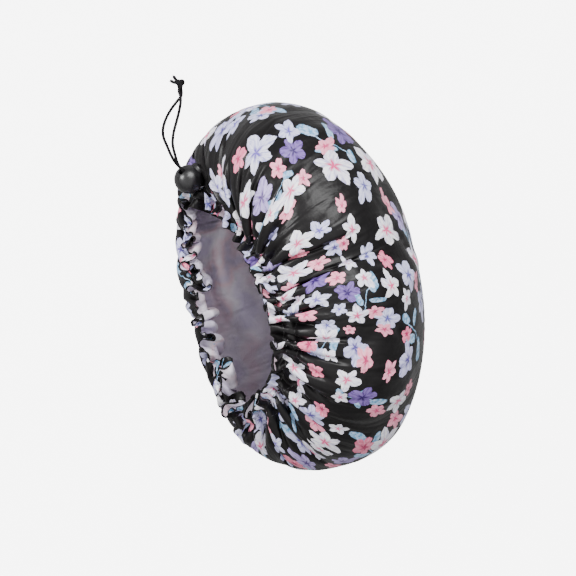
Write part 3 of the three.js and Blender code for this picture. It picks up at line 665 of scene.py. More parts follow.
def settle(rho, theta, base, start, normals, keep_out):
    """Lets the folded cloth find its shape: threads that don't stretch, a light push from the air inside,
    the table below, and the ball and the cords, which it may not enter."""
    flat = CORD_RADIUS_FLAT - rho
    pillow_step = np.linalg.norm(np.roll(base, -1, 1) - base, axis=-1)
    pillow_step = np.stack([smooth_ring(row, 4) for row in pillow_step])
    ring_rest = np.minimum(flat[:, None] * (theta[1] - theta[0]), pillow_step * gather_limit(rho, theta))
    ring2_rest = ring_rest + np.roll(ring_rest, -1, 1)
    column_rest = np.where((rho[:-1] > CASING_HALF_WIDTH)[:, None],
                           1.01 * np.linalg.norm(np.diff(base, axis=0), axis=-1), np.abs(np.diff(rho))[:, None])
    diagonal_rest = np.sqrt(column_rest ** 2 + ring_rest[1:] * ring_rest[:-1])
    p = start.copy()
    previous = p.copy()
    held = np.abs(rho) <= CASING_HALF_WIDTH
    near = rho < 120
    frill_pull = np.where(rho < -CASING_HALF_WIDTH, FRILL_HOLD, 0.0)[:, None, None]
    on_table = np.interp(base[..., 2], [1.5, 7.0], [TABLE_HOLD, 0.0]) * np.interp(rho, [25, 45], [0.0, 1.0])[:, None]
    base_pull = np.maximum(on_table, np.interp(rho, [185, 215], [0.0, TABLE_HOLD])[:, None])[..., None]
    free_body = (rho > CASING_HALF_WIDTH)[:, None, None]
    base_full = fullness(body_direction(base))
    least, most = (base_full * np.interp(rho, *share)[:, None] for share in (LEAST_FULL, MOST_FULL))

    def pull(a, b, rest, weight, only_apart=False):
        d = b - a
        length = np.linalg.norm(d, axis=-1)
        excess = (length - rest) / np.maximum(length, 1e-6)
        if only_apart:
            excess = np.minimum(excess, 0)
        return d * (0.5 * weight * excess)[..., None]

    for step in range(SETTLE_STEPS):
        velocity = (p - previous) * SPEED_KEPT
        previous = p.copy()
        push = 0.5 * cloth_normals(p) + 0.5 * normals
        p = p + velocity + np.where(free_body, PUSH_OUT, 0.0) * push - np.array([0, 0, CLOTH_WEIGHT])
        for parity in (0, 1):
            a, b = p[:, parity::2], np.roll(p, -1, 1)[:, parity::2]
            m = pull(a, b, ring_rest[:, parity::2], 1.0)
            move, back = np.zeros_like(p), np.zeros_like(p)
            move[:, parity::2] += m
            back[:, parity::2] = -m
            p += move + np.roll(back, 1, 1)
        for parity in (0, 1):
            m = pull(p[parity:-1:2], p[parity + 1::2], column_rest[parity::2], 1.0)
            p[parity:-1:2] += m
            p[parity + 1::2] -= m
        move = np.zeros_like(p)
        right = np.roll(p, -1, 1)
        upper, lower = slice(None, -1), slice(1, None)
        for one, other in ((upper, lower), (lower, upper)):
            m = pull(p[one], right[other], diagonal_rest, SHEAR_HOLD)
            move[one] += m
            move[other] -= np.roll(m, 1, 1)
        m = pull(p, np.roll(p, -2, 1), BEND_ROUND * ring2_rest, BEND_HOLD, only_apart=True)
        move += m - np.roll(m, 2, 1)
        m = pull(p[:-2], p[2:], BEND_DOWN * (column_rest[1:] + column_rest[:-1]), BEND_HOLD, only_apart=True)
        move[:-2] += m
        move[2:] -= m
        q = p[near]
        for k in (3, 4, 5, 6, 7, 9, 11):
            m = pull(q, np.roll(q, -k, 1), LAYER_ROOM, 0.5, only_apart=True)
            move[near] += m - np.roll(m, k, 1)
        p += move
        d = body_direction(p)
        full = fullness(d)
        goal = np.clip(full, least, most)
        p = np.where((free_body[..., 0] & (goal != full))[..., None],
                     from_direction(d * (goal / np.maximum(full, 1e-6))[..., None]), p)
        p[..., 2] = np.maximum(p[..., 2], TABLE_CLEARANCE)
        for centre, room in keep_out[:1] if step % 4 else keep_out:
            to = p - centre
            length = np.linalg.norm(to, axis=-1, keepdims=True)
            p = np.where(length < room, centre + to / np.maximum(length, 1e-6) * room, p)
        p += (start - p) * frill_pull + (base - p) * base_pull
        p[held] = start[held]
    return p


def doubled(grid, ring=True):
    """The same surface with a new point midway between every two, on a smooth curve."""
    if ring:
        middle = (9 * (grid + np.roll(grid, -1, 1)) - np.roll(grid, 1, 1) - np.roll(grid, -2, 1)) / 16
        out = np.empty((grid.shape[0], 2 * grid.shape[1]) + grid.shape[2:])
        out[:, ::2], out[:, 1::2] = grid, middle
        return out
    padded = np.concatenate([2 * grid[:1] - grid[1:2], grid, 2 * grid[-1:] - grid[-2:-1]])
    middle = (9 * (padded[1:-2] + padded[2:-1]) - padded[:-3] - padded[3:]) / 16
    out = np.empty((2 * len(grid) - 1,) + grid.shape[1:])
    out[::2], out[1::2] = grid, middle
    return out


rho = flat_rows()
theta, turn, base, base_normals, start = gathered_start(rho, np.random.default_rng(7))
keep_out = [(BALL_CENTRE, BALL_ROOM)]
for points in STRAND_POINTS.values():
    free = smooth_path(points[7:], 3) / MM - MODEL_SHIFT
    keep_out += [(centre, CORD_ROOM) for centre in free[:24]]
middle_sheet = settle(rho, theta, base, start, base_normals, keep_out)
# The settled cloth has drawn in a little at its far end, away from the lock. This lets it out again.
FAR_END_DRAWN_IN, FAR_END_FROM, FAR_END_OVER = 2.6, 40, 86
let_out = np.clip((-middle_sheet[..., 1] - FAR_END_FROM) / FAR_END_OVER, 0, 1) ** 2
let_out = let_out * np.interp(rho, [15, 60], [0, 1])[:, None]
middle_sheet[..., 1] -= FAR_END_DRAWN_IN * let_out


# Two layers from the one settled sheet, a hair apart, with room for the cord along the casing.
outward = cloth_normals(middle_sheet)
for _ in range(2):
    outward = unit(outward + 0.5 * (np.roll(outward, 1, 1) + np.roll(outward, -1, 1)))
from_cord = np.sum((middle_sheet - base) * base_normals, -1)
room = np.interp(np.abs(rho), [0, 2.5, 5.0], [LUMEN, 0.55 * LUMEN, 0.0])[:, None]
in_casing = (np.abs(rho) < CASING_HALF_WIDTH)[:, None]
outer_lift = np.where(in_casing, np.maximum(from_cord + HALF_GAP, room) - from_cord, HALF_GAP)
lining_lift = np.where(in_casing, from_cord - np.minimum(from_cord - HALF_GAP, -room), HALF_GAP)
# The lining is loose inside and lies in soft folds of its own, only ever inwards.
loose_folds = soft_creases(turn[None], rho[:, None] / CORD_RADIUS_FLAT, np.random.default_rng(5), **LINING_FOLDS)
loose_folds = np.maximum(loose_folds, 0) * np.interp(rho, [22, 45, 205, 228], [0, 1, 1, 0])[:, None]
way_out = np.where(in_casing[..., None], base_normals, outward)
outer_grid = middle_sheet + way_out * outer_lift[..., None]
lining_grid = middle_sheet - way_out * lining_lift[..., None] - base_normals * loose_folds[..., None]
outer_grid[..., 2] = np.maximum(outer_grid[..., 2], TABLE_CLEARANCE - HALF_GAP)
lining_grid[..., 2] = np.maximum(lining_grid[..., 2], TABLE_CLEARANCE)

flat_radius = CORD_RADIUS_FLAT - rho
flat_grid = flat_radius[:, None, None] * np.stack([np.cos(theta), np.sin(theta)], -1)[None]

# The outer cloth turns over the lining's cut edge in a narrow black hem. Each of its rows: how far in from the
# edge, how far inwards through the cloth, and how far out in the flat cut.
HEM_WIDTH, HEM_THICKNESS = 1.1, 0.5
HEM_ROWS = [(HEM_WIDTH, HEM_THICKNESS, 3.6), (0.5 * HEM_WIDTH, HEM_THICKNESS, 2.6), (-0.1, 0.55 * HEM_THICKNESS, 1.6),
            (-0.5, 0.0, 0.8)]
edge_in = unit(middle_sheet[1] - middle_sheet[0])
hem_rows = [middle_sheet[0] + edge_in * along - outward[0] * through for along, through, _ in HEM_ROWS]
hem_flat = [flat_grid[0] * (1 + out / flat_radius[0]) for _, _, out in HEM_ROWS]
outer_grid = np.concatenate([hem_rows, outer_grid])
outer_flat = np.concatenate([hem_flat, flat_grid])


def finished(grid):
    """The grid with rows that close the small opening at the crown, twice as fine both ways."""
    middle = grid[-1].mean(0)
    more = [middle + (grid[-1] - middle) * share for share in (0.62, 0.3, 0.04)]
    return doubled(doubled(np.concatenate([grid, more])), ring=False)


def cloth_piece(name, points, flat, material, faces_out, hole=None):
    points, flat = finished(points), finished(flat)
    rows, columns = points.shape[:2]
    row, column = np.meshgrid(np.arange(rows - 1), np.arange(columns), indexing="ij")
    after = (column + 1) % columns
    quads = np.stack([row * columns + column, row * columns + after,
                      (row + 1) * columns + after, (row + 1) * columns + column], -1).reshape(-1, 4)
    if hole is not None:
        quads = quads[~hole(points.reshape(-1, 3)[quads].mean(1))]
    if not faces_out:
        quads = quads[:, ::-1]
    last = (rows - 1) * columns + np.arange(columns)
    cap = tuple(last if faces_out else last[::-1])
    placed = (points.reshape(-1, 3) + MODEL_SHIFT) * MM
    return mesh_piece(name, placed, [tuple(q) for q in quads] + [cap], material, uv=flat.reshape(-1, 2) * MM)


# The buttonhole: a slot in the outer cloth where both cord ends come out to the lock.
HOLE_CENTRE = mouth_point(np.array([0.0]))[0]
HOLE_OUT = unit(BALL_CENTRE - HOLE_CENTRE)
HOLE_ACROSS = unit(np.cross(HOLE_OUT, mouth_tangent(np.array([0.0]))[0]))
HOLE_ALONG = np.cross(HOLE_ACROSS, HOLE_OUT)
HOLE_HALF_LENGTH, HOLE_HALF_WIDTH = 3.4, 1.6


def in_buttonhole(centre):
    q = centre - HOLE_CENTRE
    along, across, out = q @ HOLE_ALONG, q @ HOLE_ACROSS, q @ HOLE_OUT
    return (np.abs(along) < HOLE_HALF_LENGTH) & (np.abs(across) < HOLE_HALF_WIDTH) & (out > 0) & (out < 6)


# Polyester satin: black, smooth and softly shiny, with a flower print that follows the flat cut.
PRINT_REPEAT, PRINT_TURN, PETALS, MOST_ROOM, SMALLEST = 42.0, 24.0, 5, 0.3, 0.78
printed_satin, ink = new_material("printed_polyester_satin", "#141213", 0.31, Specular_IOR_Level=0.2)
print_mm = ink.scaled(ink.uv(), 1 / MM)
wash = ink.noise(print_mm, 0.35, 4.0, 0.6)
# The print wanders from its grid in wide drifts, and its edges in brush strokes.
brushed = print_mm
for scale, detail, reach in ((0.017, 1.0, 30.0), (0.22, 3.0, 3.2)):
    shift = ink.vector("SUBTRACT", ink.noise(print_mm, scale, detail, output=1), (0.5, 0.5, 0.5))
    brushed = ink.vector("MULTIPLY_ADD", shift, (reach, reach, 0.0), brushed)


def print_cell(seed, offset, turn_degrees, cell_mm):
    """A cell of a turned grid: the place in it, its key, and its random numbers, together and one by one."""
    placed = ink.add("ShaderNodeMapping", {0: brushed, 1: (*offset, 0.0), 2: (0.0, 0.0, math.radians(turn_degrees)),
                                           3: (1 / cell_mm,) * 3}).outputs[0]
    key = ink.vector("ADD", ink.vector("FLOOR", placed), (0.5, 0.5, seed + 0.5))
    chance = ink.random(key)[1]
    return ink.vector("FRACTION", placed), key, chance, ink.parts(chance)


def printed(under, shape, chance, often, colour):
    """Lays a colour over what is under it, inside a shape, in this share of the cells."""
    return ink.mix(ink.math("MULTIPLY", shape, ink.math("LESS_THAN", chance, often)), under, colour)


def blossoms(under, seed, offset, radius_mm, petal_width, often, tip, kinds):
    """Paints blossoms over what is under them. Each cell of the print's turned grid holds one or none, with its
    own place, turn, size and kind, and each petal its own length."""
    inside, key, chance, chances = print_cell(seed, offset, PRINT_TURN, PRINT_REPEAT)
    others = ink.parts(ink.random(ink.vector("ADD", key, (0.0, 0.0, 37.0)))[1])
    room = np.clip(1 - 2.1 * radius_mm / PRINT_REPEAT, 0.0, MOST_ROOM).item()
    shift = ink.vector("MULTIPLY_ADD", chance, (-room, -room, 0.0), (-0.5 + room / 2, -0.5 + room / 2, 0.0))
    x, y, _ = ink.axes(ink.vector("ADD", inside, shift))
    distance = ink.vector("LENGTH", ink.joined(x, y))
    sectors = ink.math("MULTIPLY_ADD", ink.math("ARCTAN2", y, x), PETALS / TURN, others[0])
    petal_number = ink.math("FLOOR", sectors)
    petal_chance = ink.random(key, ink.math("FLOORED_MODULO", petal_number, float(PETALS)))[0]
    aside = ink.math("ADD", ink.math("SUBTRACT", sectors, petal_number), -0.5)
    off_middle = ink.math("ABSOLUTE", aside)
    size = ink.fit(others[1], 0.0, 1.0, SMALLEST * radius_mm / PRINT_REPEAT, radius_mm / PRINT_REPEAT)
    reach = ink.math("MULTIPLY", ink.fit(petal_chance, 0.0, 1.0, 0.8, 1.06), size)
    notched = ink.math("MULTIPLY", reach, ink.fit(off_middle, 0.0, 0.12, tip, 1.0))
    out = ink.math("DIVIDE", distance, notched)
    lengthwise = ink.math("MULTIPLY_ADD", ink.math("POWER", out, 1.35), 2.0, -1.0)
    sideways = ink.math("MULTIPLY", ink.math("MULTIPLY", off_middle, out), TURN / PETALS / petal_width)
    outline = ink.math("ADD", ink.math("POWER", lengthwise, 2.0), ink.math("POWER", sideways, 2.0))
    shape = ink.math("MAXIMUM", ink.fit(outline, 1.06, 0.94), ink.fit(out, 0.16, 0.1))
    body, shade, heart = (ink.ramp(others[2], [(kind[0], kind[i]) for kind in kinds], "CONSTANT") for i in (1, 2, 3))
    stroke_place = ink.joined(ink.math("MULTIPLY", aside, 8.0), out, ink.math("MULTIPLY", petal_number, 3.7))
    washed = ink.math("MULTIPLY_ADD", wash, 0.4, ink.noise(stroke_place, 1.3, 2.0))
    vein = ink.math("MULTIPLY", ink.fit(off_middle, 0.0, 0.16, 0.55, 0.0), ink.fit(out, 0.75, 0.3))
    tinted = ink.mix(ink.math("MAXIMUM", ink.fit(washed, 0.62, 0.86, 0.0, 0.9), vein), body, shade)
    star = ink.math("MULTIPLY_ADD", off_middle, 0.55, out)
    return printed(under, shape, chances[2], often, ink.mix(ink.fit(star, 0.5, 0.24), tinted, heart))


def sprigs(under, seed, cell_mm, turn_degrees, often):
    """Paints thin pale stems with leaves and buds in some cells of a turned grid."""
    inside, _, _, chances = print_cell(seed, (seed * 1.37, seed * 2.11), turn_degrees, cell_mm)
    turned = ink.add("ShaderNodeVectorRotate", {0: ink.vector("SUBTRACT", inside, (0.5, 0.5, 0.0)),
                                                3: ink.math("MULTIPLY", chances[0], TURN)},
                     rotation_type="Z_AXIS").outputs[0]
    x, y, _ = ink.axes(turned)
    sway = ink.math("SINE", ink.math("MULTIPLY", x, 7.0))
    off_stem = ink.math("ABSOLUTE", ink.math("MULTIPLY_ADD", sway, -0.06, y))
    on_length = ink.math("LESS_THAN", ink.math("ABSOLUTE", x), 0.3)
    shape = ink.math("MULTIPLY", ink.fit(off_stem, 0.5 / cell_mm, 0.25 / cell_mm), on_length)
    for *at, tilt, half_length, half_width in ((0.3, 0.05, 0.3, 0.13, 0.055), (-0.02, 0.1, 0.9, 0.12, 0.05),
                                               (0.1, -0.1, -0.8, 0.1, 0.045), (-0.26, -0.06, 2.6, 0.09, 0.05)):
        leaf = ink.add("ShaderNodeMapping", {0: turned, 1: (*at, 0.0), 2: (0.0, 0.0, tilt),
                                             3: (half_length, half_width, 1.0)}, vector_type="TEXTURE")
        x, y, _ = ink.axes(leaf.outputs[0])
        leaf_out = ink.vector("LENGTH", ink.joined(x, y))
        shape = ink.math("MAXIMUM", shape, ink.fit(leaf_out, 1.05, 0.92))
    tone = ink.ramp(ink.fit(wash, 0.4, 0.6), [(0.0, "#5d93b8"), (0.5, "#8fb4d6"), (1.0, "#b9cbe8")])
    return printed(under, shape, chances[2], often, tone)


# Each row of blossoms: seed, offset, radius, petal width, how often, how blunt the petals' tips are, and its
# kinds, each with the chance that it starts at, its colour, its shade and its heart.
BLOSSOMS = [
    (11, (0.5, 0.5), 13.6, 0.36, 0.78, 0.96,
     [(0.0, "#b7a8da", "#76609f", "#3f2366"), (0.25, "#cac9e8", "#8f8cc4", "#4b3f86"),
      (0.5, "#7f68ab", "#4c3672", "#2a1450"), (0.7, "#d5d5ef", "#9798cc", "#4d4a92")]),
    (5, (0.5, 0.0), 9.4, 0.35, 0.82, 0.92,
     [(0.0, "#ec86a3", "#f7bccb", "#b52e62"), (0.4, "#f4a5ba", "#df6f92", "#bf3c6d"),
      (0.7, "#e26b8e", "#f3a4b9", "#a02555")]),
    (41, (0.0, 0.5), 9.6, 0.35, 0.62, 1.06,
     [(0.0, "#f2a9bd", "#dc6f92", "#b52e62"), (0.35, "#fbfafd", "#c2bbe0", "#d84f84"),
      (0.7, "#d6d6f2", "#9093cc", "#5c4fa6")]),
    (23, (0.0, 0.0), 14.2, 0.33, 0.86, 1.06,
     [(0.0, "#fdfcfe", "#bdb4dc", "#dd4f83"), (0.45, "#f6f4fb", "#a9a2d3", "#d4447a"),
      (0.75, "#e4e3f6", "#9392cd", "#6a59b0")]),
]
painted = ink.ramp(wash, [(0.0, "#0c0b0c"), (1.0, "#171516")])
painted = sprigs(painted, 3, 1.5 * PRINT_REPEAT, 12.0, 0.75)
for kind in BLOSSOMS:
    painted = blossoms(painted, *kind)
on_hem = ink.math("GREATER_THAN", ink.vector("LENGTH", print_mm), CORD_RADIUS_FLAT + FRILL_WIDTH - 0.3)
ink.feed("Base Color", ink.mix(on_hem, painted, srgb("#0e0d0e")))


def creases(nodes, flat_mm, pulled, distortion):
    """Soft creases as heights: ones that run from the gathers towards the crown and fade out before it, and
    others every way."""
    from_middle = nodes.vector("LENGTH", flat_mm)
    lengthwise = nodes.joined(0.0, 0.0, nodes.math("MULTIPLY", from_middle, 0.013))
    place = nodes.vector("ADD", nodes.scaled(nodes.vector("NORMALIZE", flat_mm), 11.0), lengthwise)
    lines = nodes.math("MULTIPLY", nodes.noise(place, 1.0, 2.0, 0.5, 0.5), nodes.fit(from_middle, 40.0, 120.0))
    return nodes.math("MULTIPLY_ADD", lines, pulled, nodes.noise(flat_mm, 0.05, 3.0, 0.45, distortion))


# The satin's fine float lines are drawn coarser to show.
satin_axes = ink.add("ShaderNodeMapping", {0: print_mm, 3: (0.25, 2.6, 1.0)}).outputs[0]
satin_lines = ink.noise(satin_axes, 1.0, 2.0)
ink.bump(ink.math("MULTIPLY_ADD", satin_lines, 0.06, creases(ink, print_mm, 3.0, 0.6)), 0.5, 0.0022)

# Lining: pale grey polyester, so thin that the print's colours come through as a faint blush. Painted shade: its
# colour goes towards a dark grey mauve where it lies close against the black cloth and deep inside the cap, and stays
# paler where its loose folds lift off and near the mouth.
lining_satin, grey = new_material(
    "pale_polyester_lining", "#cfcbd4", 0.5, Specular_IOR_Level=0.4, Sheen_Weight=0.1, Sheen_Roughness=0.5)
blush = grey.ramp(grey.noise(grey.place(), 38.0, 2.0, 0.45),
                  [(0.36, "#c0b8cf"), (0.47, "#d8d2dd"), (0.56, "#dac3ce"), (0.65, "#c6bcd1")])
# Painted shade: the lower the painted lightness, the more the lining's colour goes towards a dark grey mauve.
painted_lightness = grey.add("ShaderNodeAttribute", attribute_name="painted_lightness").outputs[2]
grey.feed("Base Color", grey.mix(grey.fit(painted_lightness, 0.0, 7.0, 0.56, 0.0), blush, srgb("#887a90")))
grey.bump(creases(grey, grey.scaled(grey.uv(), 1 / MM), 4.0, 0.5), 0.6, 0.0028)

outer_cloth = cloth_piece("outer_cloth", outer_grid, outer_flat, printed_satin, True, hole=in_buttonhole)
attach(outer_cloth, "cap")
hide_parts("outer_shell")
lining_cloth = cloth_piece("lining_cloth", lining_grid, flat_grid, lining_satin, False)
# Painted shade: how pale the lining is painted at each point, its loose folds' height plus a rise towards the mouth.
lining_painted_lightness = finished((loose_folds + np.interp(rho, [10, 60], [6, 0])[:, None])[..., None])
attribute = lining_cloth.data.attributes.new("painted_lightness", "FLOAT", "POINT")
attribute.data.foreach_set("value", lining_painted_lightness.astype(np.float32).ravel())
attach(lining_cloth, "cap")
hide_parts("lining")

# The drawcord's ring inside the casing, one round of the same cord.
RING_END_TURN = 0.0934
ring_turns = np.linspace(RING_END_TURN, TURN - RING_END_TURN, 300)
ring_cord = cord_piece("ring_cord", *tube_mesh((mouth_point(ring_turns) + MODEL_SHIFT) * MM, CORD_RADIUS))
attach(ring_cord, "cap")
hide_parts("drawcord_ring")

# Spun polyester thread: black, matt, two fine plies twisted together.
thread, ply = new_material("spun_polyester_thread", "#161516", 0.75, Sheen_Weight=0.3)
ply.feed("Base Color", ply.ramp(ply.noise(ply.place(), 4000.0, 2.0), [(0.3, "#0d0c0d"), (0.7, "#262426")]))


def stitch_tree():
    """Geometry Nodes that lay one short thread at every point, along the point's own run."""
    tree = bpy.data.node_groups.new("laid_stitches", "GeometryNodeTree")
    for name, way, kind in (("Geometry", "INPUT", "Geometry"), ("Stitch length", "INPUT", "Float"),
                            ("Thread radius", "INPUT", "Float"), ("Material", "INPUT", "Material"),
                            ("Geometry", "OUTPUT", "Geometry")):
        tree.interface.new_socket(name, in_out=way, socket_type="NodeSocket" + kind)
    nodes = Nodes(tree)
    given = nodes.add("NodeGroupInput").outputs
    points = nodes.add("GeometryNodeMeshToPoints", {0: given["Geometry"]})
    ball = nodes.add("GeometryNodeMeshUVSphere", {0: 6, 1: 5, 2: 1.0})
    half = nodes.math("MULTIPLY", given["Stitch length"], 0.5)
    scale = nodes.joined(given["Thread radius"], given["Thread radius"], half)
    stitch = nodes.add("GeometryNodeTransform", {0: ball.outputs[0], "Scale": scale})
    run = nodes.add("GeometryNodeInputNamedAttribute", {"Name": "run"}, data_type="FLOAT_VECTOR")
    turned = nodes.add("FunctionNodeAlignRotationToVector", {"Vector": run.outputs[0]}, axis="Z")
    placed = nodes.add("GeometryNodeInstanceOnPoints", {"Points": points.outputs[0], "Instance": stitch.outputs[0],
                                                        "Rotation": turned.outputs[0]})
    real = nodes.add("GeometryNodeRealizeInstances", {0: placed.outputs[0]})
    coloured = nodes.add("GeometryNodeSetMaterial", {0: real.outputs[0], "Material": given["Material"]})
    nodes.add("NodeGroupOutput", {0: coloured.outputs[0]})
    return tree


STITCHES = stitch_tree()


def stitched(name, points, runs, length, radius):
    """A row of stitches as one plain mesh."""
    mesh = bpy.data.meshes.new(name + "_points")
    mesh.from_pydata(((np.asarray(points) + MODEL_SHIFT) * MM).tolist(), [], [])
    attribute = mesh.attributes.new("run", "FLOAT_VECTOR", "POINT")
    attribute.data.foreach_set("vector", np.asarray(runs, np.float32).ravel())
    carrier = linked(name + "_points", mesh)
    modifier = carrier.modifiers.new("stitches", "NODES")
    modifier.node_group = STITCHES
    inputs = {item.name: item.identifier for item in STITCHES.interface.items_tree if item.in_out == "INPUT"}
    modifier[inputs["Stitch length"]] = length * MM
    modifier[inputs["Thread radius"]] = radius * MM
    modifier[inputs["Material"]] = thread
    piece = linked(name, made_mesh(name, carrier))
    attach(piece, "cap")
    return piece


def along_row(row, spacing, lift):
    """Even places along one row of the outer cloth, with the way the row runs there."""
    ring, out = (doubled(grid[None])[0] for grid in (outer_grid[row], outward[row - len(HEM_ROWS)]))
    ring, out = np.vstack([ring, ring[:1]]), np.vstack([out, out[:1]])
    run = run_along(ring)
    place = np.linspace(0, run[-1], int(run[-1] / spacing), endpoint=False)

    def there(values, where):
        return np.stack([np.interp(where, run, values[:, k]) for k in range(3)], -1)

    at, ahead = there(ring, place), there(ring, (place + 0.4) % run[-1])
    return at + unit(there(out, place)) * lift, unit(ahead - at)


STITCH_SPACING, STITCH_LENGTH, THREAD_RADIUS = 3.2, 2.3, 0.2
casing_rows = [len(HEM_ROWS) + int(np.argmin(np.abs(rho - mm))) for mm in (-CASING_HALF_WIDTH, CASING_HALF_WIDTH)]
places, runs = zip(*(along_row(row, STITCH_SPACING, THREAD_RADIUS * 0.6) for row in casing_rows))
stitched("casing_stitches", np.concatenate(places), np.concatenate(runs), STITCH_LENGTH, THREAD_RADIUS)

# Satin stitches lie side by side round the buttonhole, square to its edge.
HOLE_BORDER, HOLE_THREAD_RADIUS, HOLE_STITCHES = 1.1, 0.28, 220
straight = HOLE_HALF_LENGTH - HOLE_HALF_WIDTH
border_points, border_runs = [], []
for angle in np.linspace(0, TURN, HOLE_STITCHES, endpoint=False):
    c, s = math.cos(angle), math.sin(angle)
    edge = np.array([straight * np.clip(1.6 * c, -1, 1) + HOLE_HALF_WIDTH * c, HOLE_HALF_WIDTH * s])
    outwards = unit(np.array([c, s * 1.4]))
    place = edge + outwards * HOLE_BORDER / 2
    border_points.append(HOLE_CENTRE + HOLE_ALONG * place[0] + HOLE_ACROSS * place[1] + HOLE_OUT * (LUMEN + 0.8))
    border_runs.append(HOLE_ALONG * outwards[0] + HOLE_ACROSS * outwards[1])
buttonhole = stitched("buttonhole_stitches", border_points, border_runs, HOLE_BORDER * 1.25, HOLE_THREAD_RADIUS)
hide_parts("buttonhole")

# The ball lock. Moulded nylon: near black, smooth from its polished mould, with a faint parting line.
BALL_RADIUS, BORE_RADIUS, BORE_FLOOR = 10.0, 5.8, 4.4
POCKET_RADIUS, POCKET_DEPTH = 3.6, 3.6
SLOT_HALF_WIDTH, SLOT_HALF_HEIGHT, SLOT_CORNER = 2.15, 2.2, 1.15
PLUNGER_RADIUS, PLUNGER_REACH, PLUNGER_DOME, PRESS = 5.5, 12.4, 2.6, 2.1
PLUNGER_FOOT = PRESS - SLOT_HALF_HEIGHT - 1.9
CUTTER_REACH = 14.0
CORD_AXIS = unit(np.array([-0.49, 0.55, 0.68]))
PLUNGER_AXIS = unit(np.array([0.69, 0.72, -0.085]))
SIDE_AXIS = np.cross(PLUNGER_AXIS, CORD_AXIS)

moulded_nylon, nylon = new_material("moulded_nylon", "#121113", 0.3, Specular_IOR_Level=0.5, IOR=1.53)
nylon_place = nylon.place()
marks = nylon.noise(nylon_place, 160.0, 4.0, 0.65)
nylon.feed("Roughness", nylon.fit(marks, 0.35, 0.7, 0.26, 0.42))
nylon.feed("Base Color", nylon.ramp(marks, [(0.35, "#0f0e10"), (0.7, "#1b1a1c")]))
from_ball = nylon.vector("ADD", nylon_place, tuple(-LOCK_PLACE * MM))
off_parting = nylon.math("ABSOLUTE", nylon.vector("DOT_PRODUCT", from_ball, tuple(SIDE_AXIS)))
parting = nylon.fit(off_parting, 0.00022, 0.00008)
nylon.bump(nylon.math("MULTIPLY_ADD", nylon.noise(nylon_place, 900.0, 3.0), 0.12, parting), 0.4, 0.0001)


def lathe(outline, steps):
    """A closed turned solid about Y, from the axis back to the axis."""
    inner = outline[1:-1]
    angle = np.linspace(0, TURN, steps, endpoint=False)
    points = [(0.0, outline[0][1], 0.0), (0.0, outline[-1][1], 0.0)]
    for r, y in inner:
        points += [(r * math.cos(a), y, r * math.sin(a)) for a in angle]
    faces = []
    for k in range(steps):
        m = (k + 1) % steps
        faces.append((0, 2 + k, 2 + m))
        for i in range(len(inner) - 1):
            a, b = 2 + i * steps, 2 + (i + 1) * steps
            faces.append((a + k, b + k, b + m, a + m))
        a = 2 + (len(inner) - 1) * steps
        faces.append((1, a + m, a + k))
    return points, faces


def slot_solid(lift):
    """The cord hole's cutter: a rounded slot along Z."""
    outline = []
    for cx, cy, first in ((1, 1, 0.0), (-1, 1, 0.5), (-1, -1, 1.0), (1, -1, 1.5)):
        for share in np.linspace(0, 0.5, 9):
            a = math.pi * (first + share)
            outline.append((cx * (SLOT_HALF_WIDTH - SLOT_CORNER) + SLOT_CORNER * math.cos(a),
                            cy * (SLOT_HALF_HEIGHT - SLOT_CORNER) + SLOT_CORNER * math.sin(a) + lift))
    n = len(outline)
    points = [(x, y, z) for z in (-CUTTER_REACH, CUTTER_REACH) for x, y in outline]
    faces = [tuple(range(n))[::-1], tuple(range(n, 2 * n))]
    faces += [(k, (k + 1) % n, n + (k + 1) % n, n + k) for k in range(n)]
    return points, faces


def as_object(name, points, faces):
    mesh = bpy.data.meshes.new(name)
    mesh.from_pydata(points, [], faces)
    work = bmesh.new()
    work.from_mesh(mesh)
    bmesh.ops.remove_doubles(work, verts=work.verts, dist=1e-5)
    bmesh.ops.recalc_face_normals(work, faces=work.faces)
    work.to_mesh(mesh)
    work.free()
    return linked(name, mesh)


def lock_piece(name, shape, cutters, edge_round):
    """A moulded piece of the lock: cut out, its edges rounded, then set in its place."""
    body = as_object(name + "_blank", *shape)
    extra = [as_object(f"{name}_cut_{i}", *cutter) for i, cutter in enumerate(cutters)]
    for cutter in extra:
        cut = body.modifiers.new("cut", "BOOLEAN")
        cut.operation, cut.solver, cut.object = "DIFFERENCE", "EXACT", cutter
    rounding = body.modifiers.new("round", "BEVEL")
    rounding.width, rounding.segments = edge_round, 2
    rounding.limit_method, rounding.angle_limit = "ANGLE", math.radians(35)
    made = made_mesh(name, body)
    for cutter in extra:
        bpy.data.objects.remove(cutter)
    turned = Matrix([[SIDE_AXIS[i], PLUNGER_AXIS[i], CORD_AXIS[i]] for i in range(3)]).to_4x4()
    made.transform(Matrix.Translation(Vector(LOCK_PLACE) * MM) @ turned @ Matrix.Scale(MM, 4))
    made.materials.clear()
    made.materials.append(moulded_nylon)
    made.set_sharp_from_angle(angle=math.radians(32))
    return linked(name, made)


ball_outline = [(BALL_RADIUS * math.sin(a), -BALL_RADIUS * math.cos(a)) for a in np.linspace(0, math.pi, 49)]
bore_outline = [(0, -BORE_FLOOR - POCKET_DEPTH), (POCKET_RADIUS, -BORE_FLOOR - POCKET_DEPTH),
                (POCKET_RADIUS, -BORE_FLOOR), (BORE_RADIUS, -BORE_FLOOR), (BORE_RADIUS, 12.0), (0, 12.0)]
ball = lock_piece("lock_ball", lathe(ball_outline, 96), [lathe(bore_outline, 72), slot_solid(0.0)], 0.3)
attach(ball, "lock")
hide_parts("lock_body")

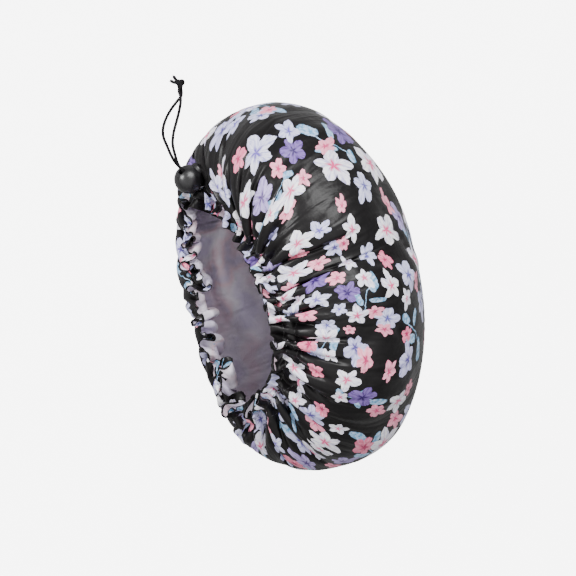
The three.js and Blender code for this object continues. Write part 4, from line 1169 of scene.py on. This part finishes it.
shoulder = PLUNGER_REACH - PLUNGER_DOME
button_outline = [(0, PLUNGER_FOOT), (PLUNGER_RADIUS, PLUNGER_FOOT)]
button_outline += [(PLUNGER_RADIUS * math.cos(a), shoulder + PLUNGER_DOME * math.sin(a))
                   for a in np.linspace(0, math.pi / 2, 14)[:-1]]
button_outline.append((0, PLUNGER_REACH))
button = lock_piece("lock_button", lathe(button_outline, 72), [slot_solid(PRESS)], 0.2)
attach(button, "plunger")
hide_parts("lock_plunger")

# Spring steel: drawn wire, bright grey with fine lines from the die.
spring_wire, steel = new_material("drawn_spring_steel", "#8c8f93", 0.28, Metallic=1.0)
steel.feed("Roughness", steel.fit(steel.noise(steel.place(), 1800.0, 3.0), 0.0, 1.0, 0.2, 0.4))
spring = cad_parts["lock_spring"]
for held in spring.material_slots:
    held.material = spring_wire
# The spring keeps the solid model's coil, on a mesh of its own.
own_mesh(spring)

# The table and the studio's light: a white ground lit from below for the camera, as in a product photograph,
# one large soft light above, and fill all round.
GROUND_GLOW = 6.5
paper, ground = new_material("white_paper", "#8c8c8c", 0.9, Specular_IOR_Level=0.1, Emission_Color=srgb("#ffffff"))
seen_by = ground.add("ShaderNodeLightPath").outputs["Is Camera Ray"]
ground.feed("Emission Strength", ground.math("MULTIPLY", seen_by, GROUND_GLOW))
floor = mesh_piece("floor", [(-3, -3, 0), (3, -3, 0), (3, 3, 0), (-3, 3, 0)], [(0, 1, 2, 3)], paper, smooth=False)

# The sky is bright overhead and dim at the horizon, so that the black cloth stays black where it turns away.
SKY_DIM, SKY_BRIGHT = 0.2, 1.45
world = bpy.context.scene.world or bpy.data.worlds.new("world")
bpy.context.scene.world = world
world.use_nodes = True
background = world.node_tree.nodes["Background"]
background.inputs["Color"].default_value = (1.0, 1.0, 1.0, 1.0)
sky = Nodes(world.node_tree, background)
sky.feed("Strength", sky.fit(sky.axes(sky.place("Generated"))[2], 0.05, 0.8, SKY_DIM, SKY_BRIGHT))


def soft_light(name, place, size, power):
    data = bpy.data.lights.new(name, "AREA")
    data.shape, data.size, data.energy = "SQUARE", size, power
    light = linked(name, data)
    light.location = place
    light.rotation_euler = (Vector((0.0, 0.0, 0.04)) - Vector(place)).to_track_quat("-Z", "Y").to_euler()
    light.visible_camera = False


soft_light("key_light", (0.35, 0.95, 1.2), 0.85, 31.0)
soft_light("left_light", (-1.0, 0.35, 0.75), 0.35, 14.0)

bpy.context.view_layer.update()
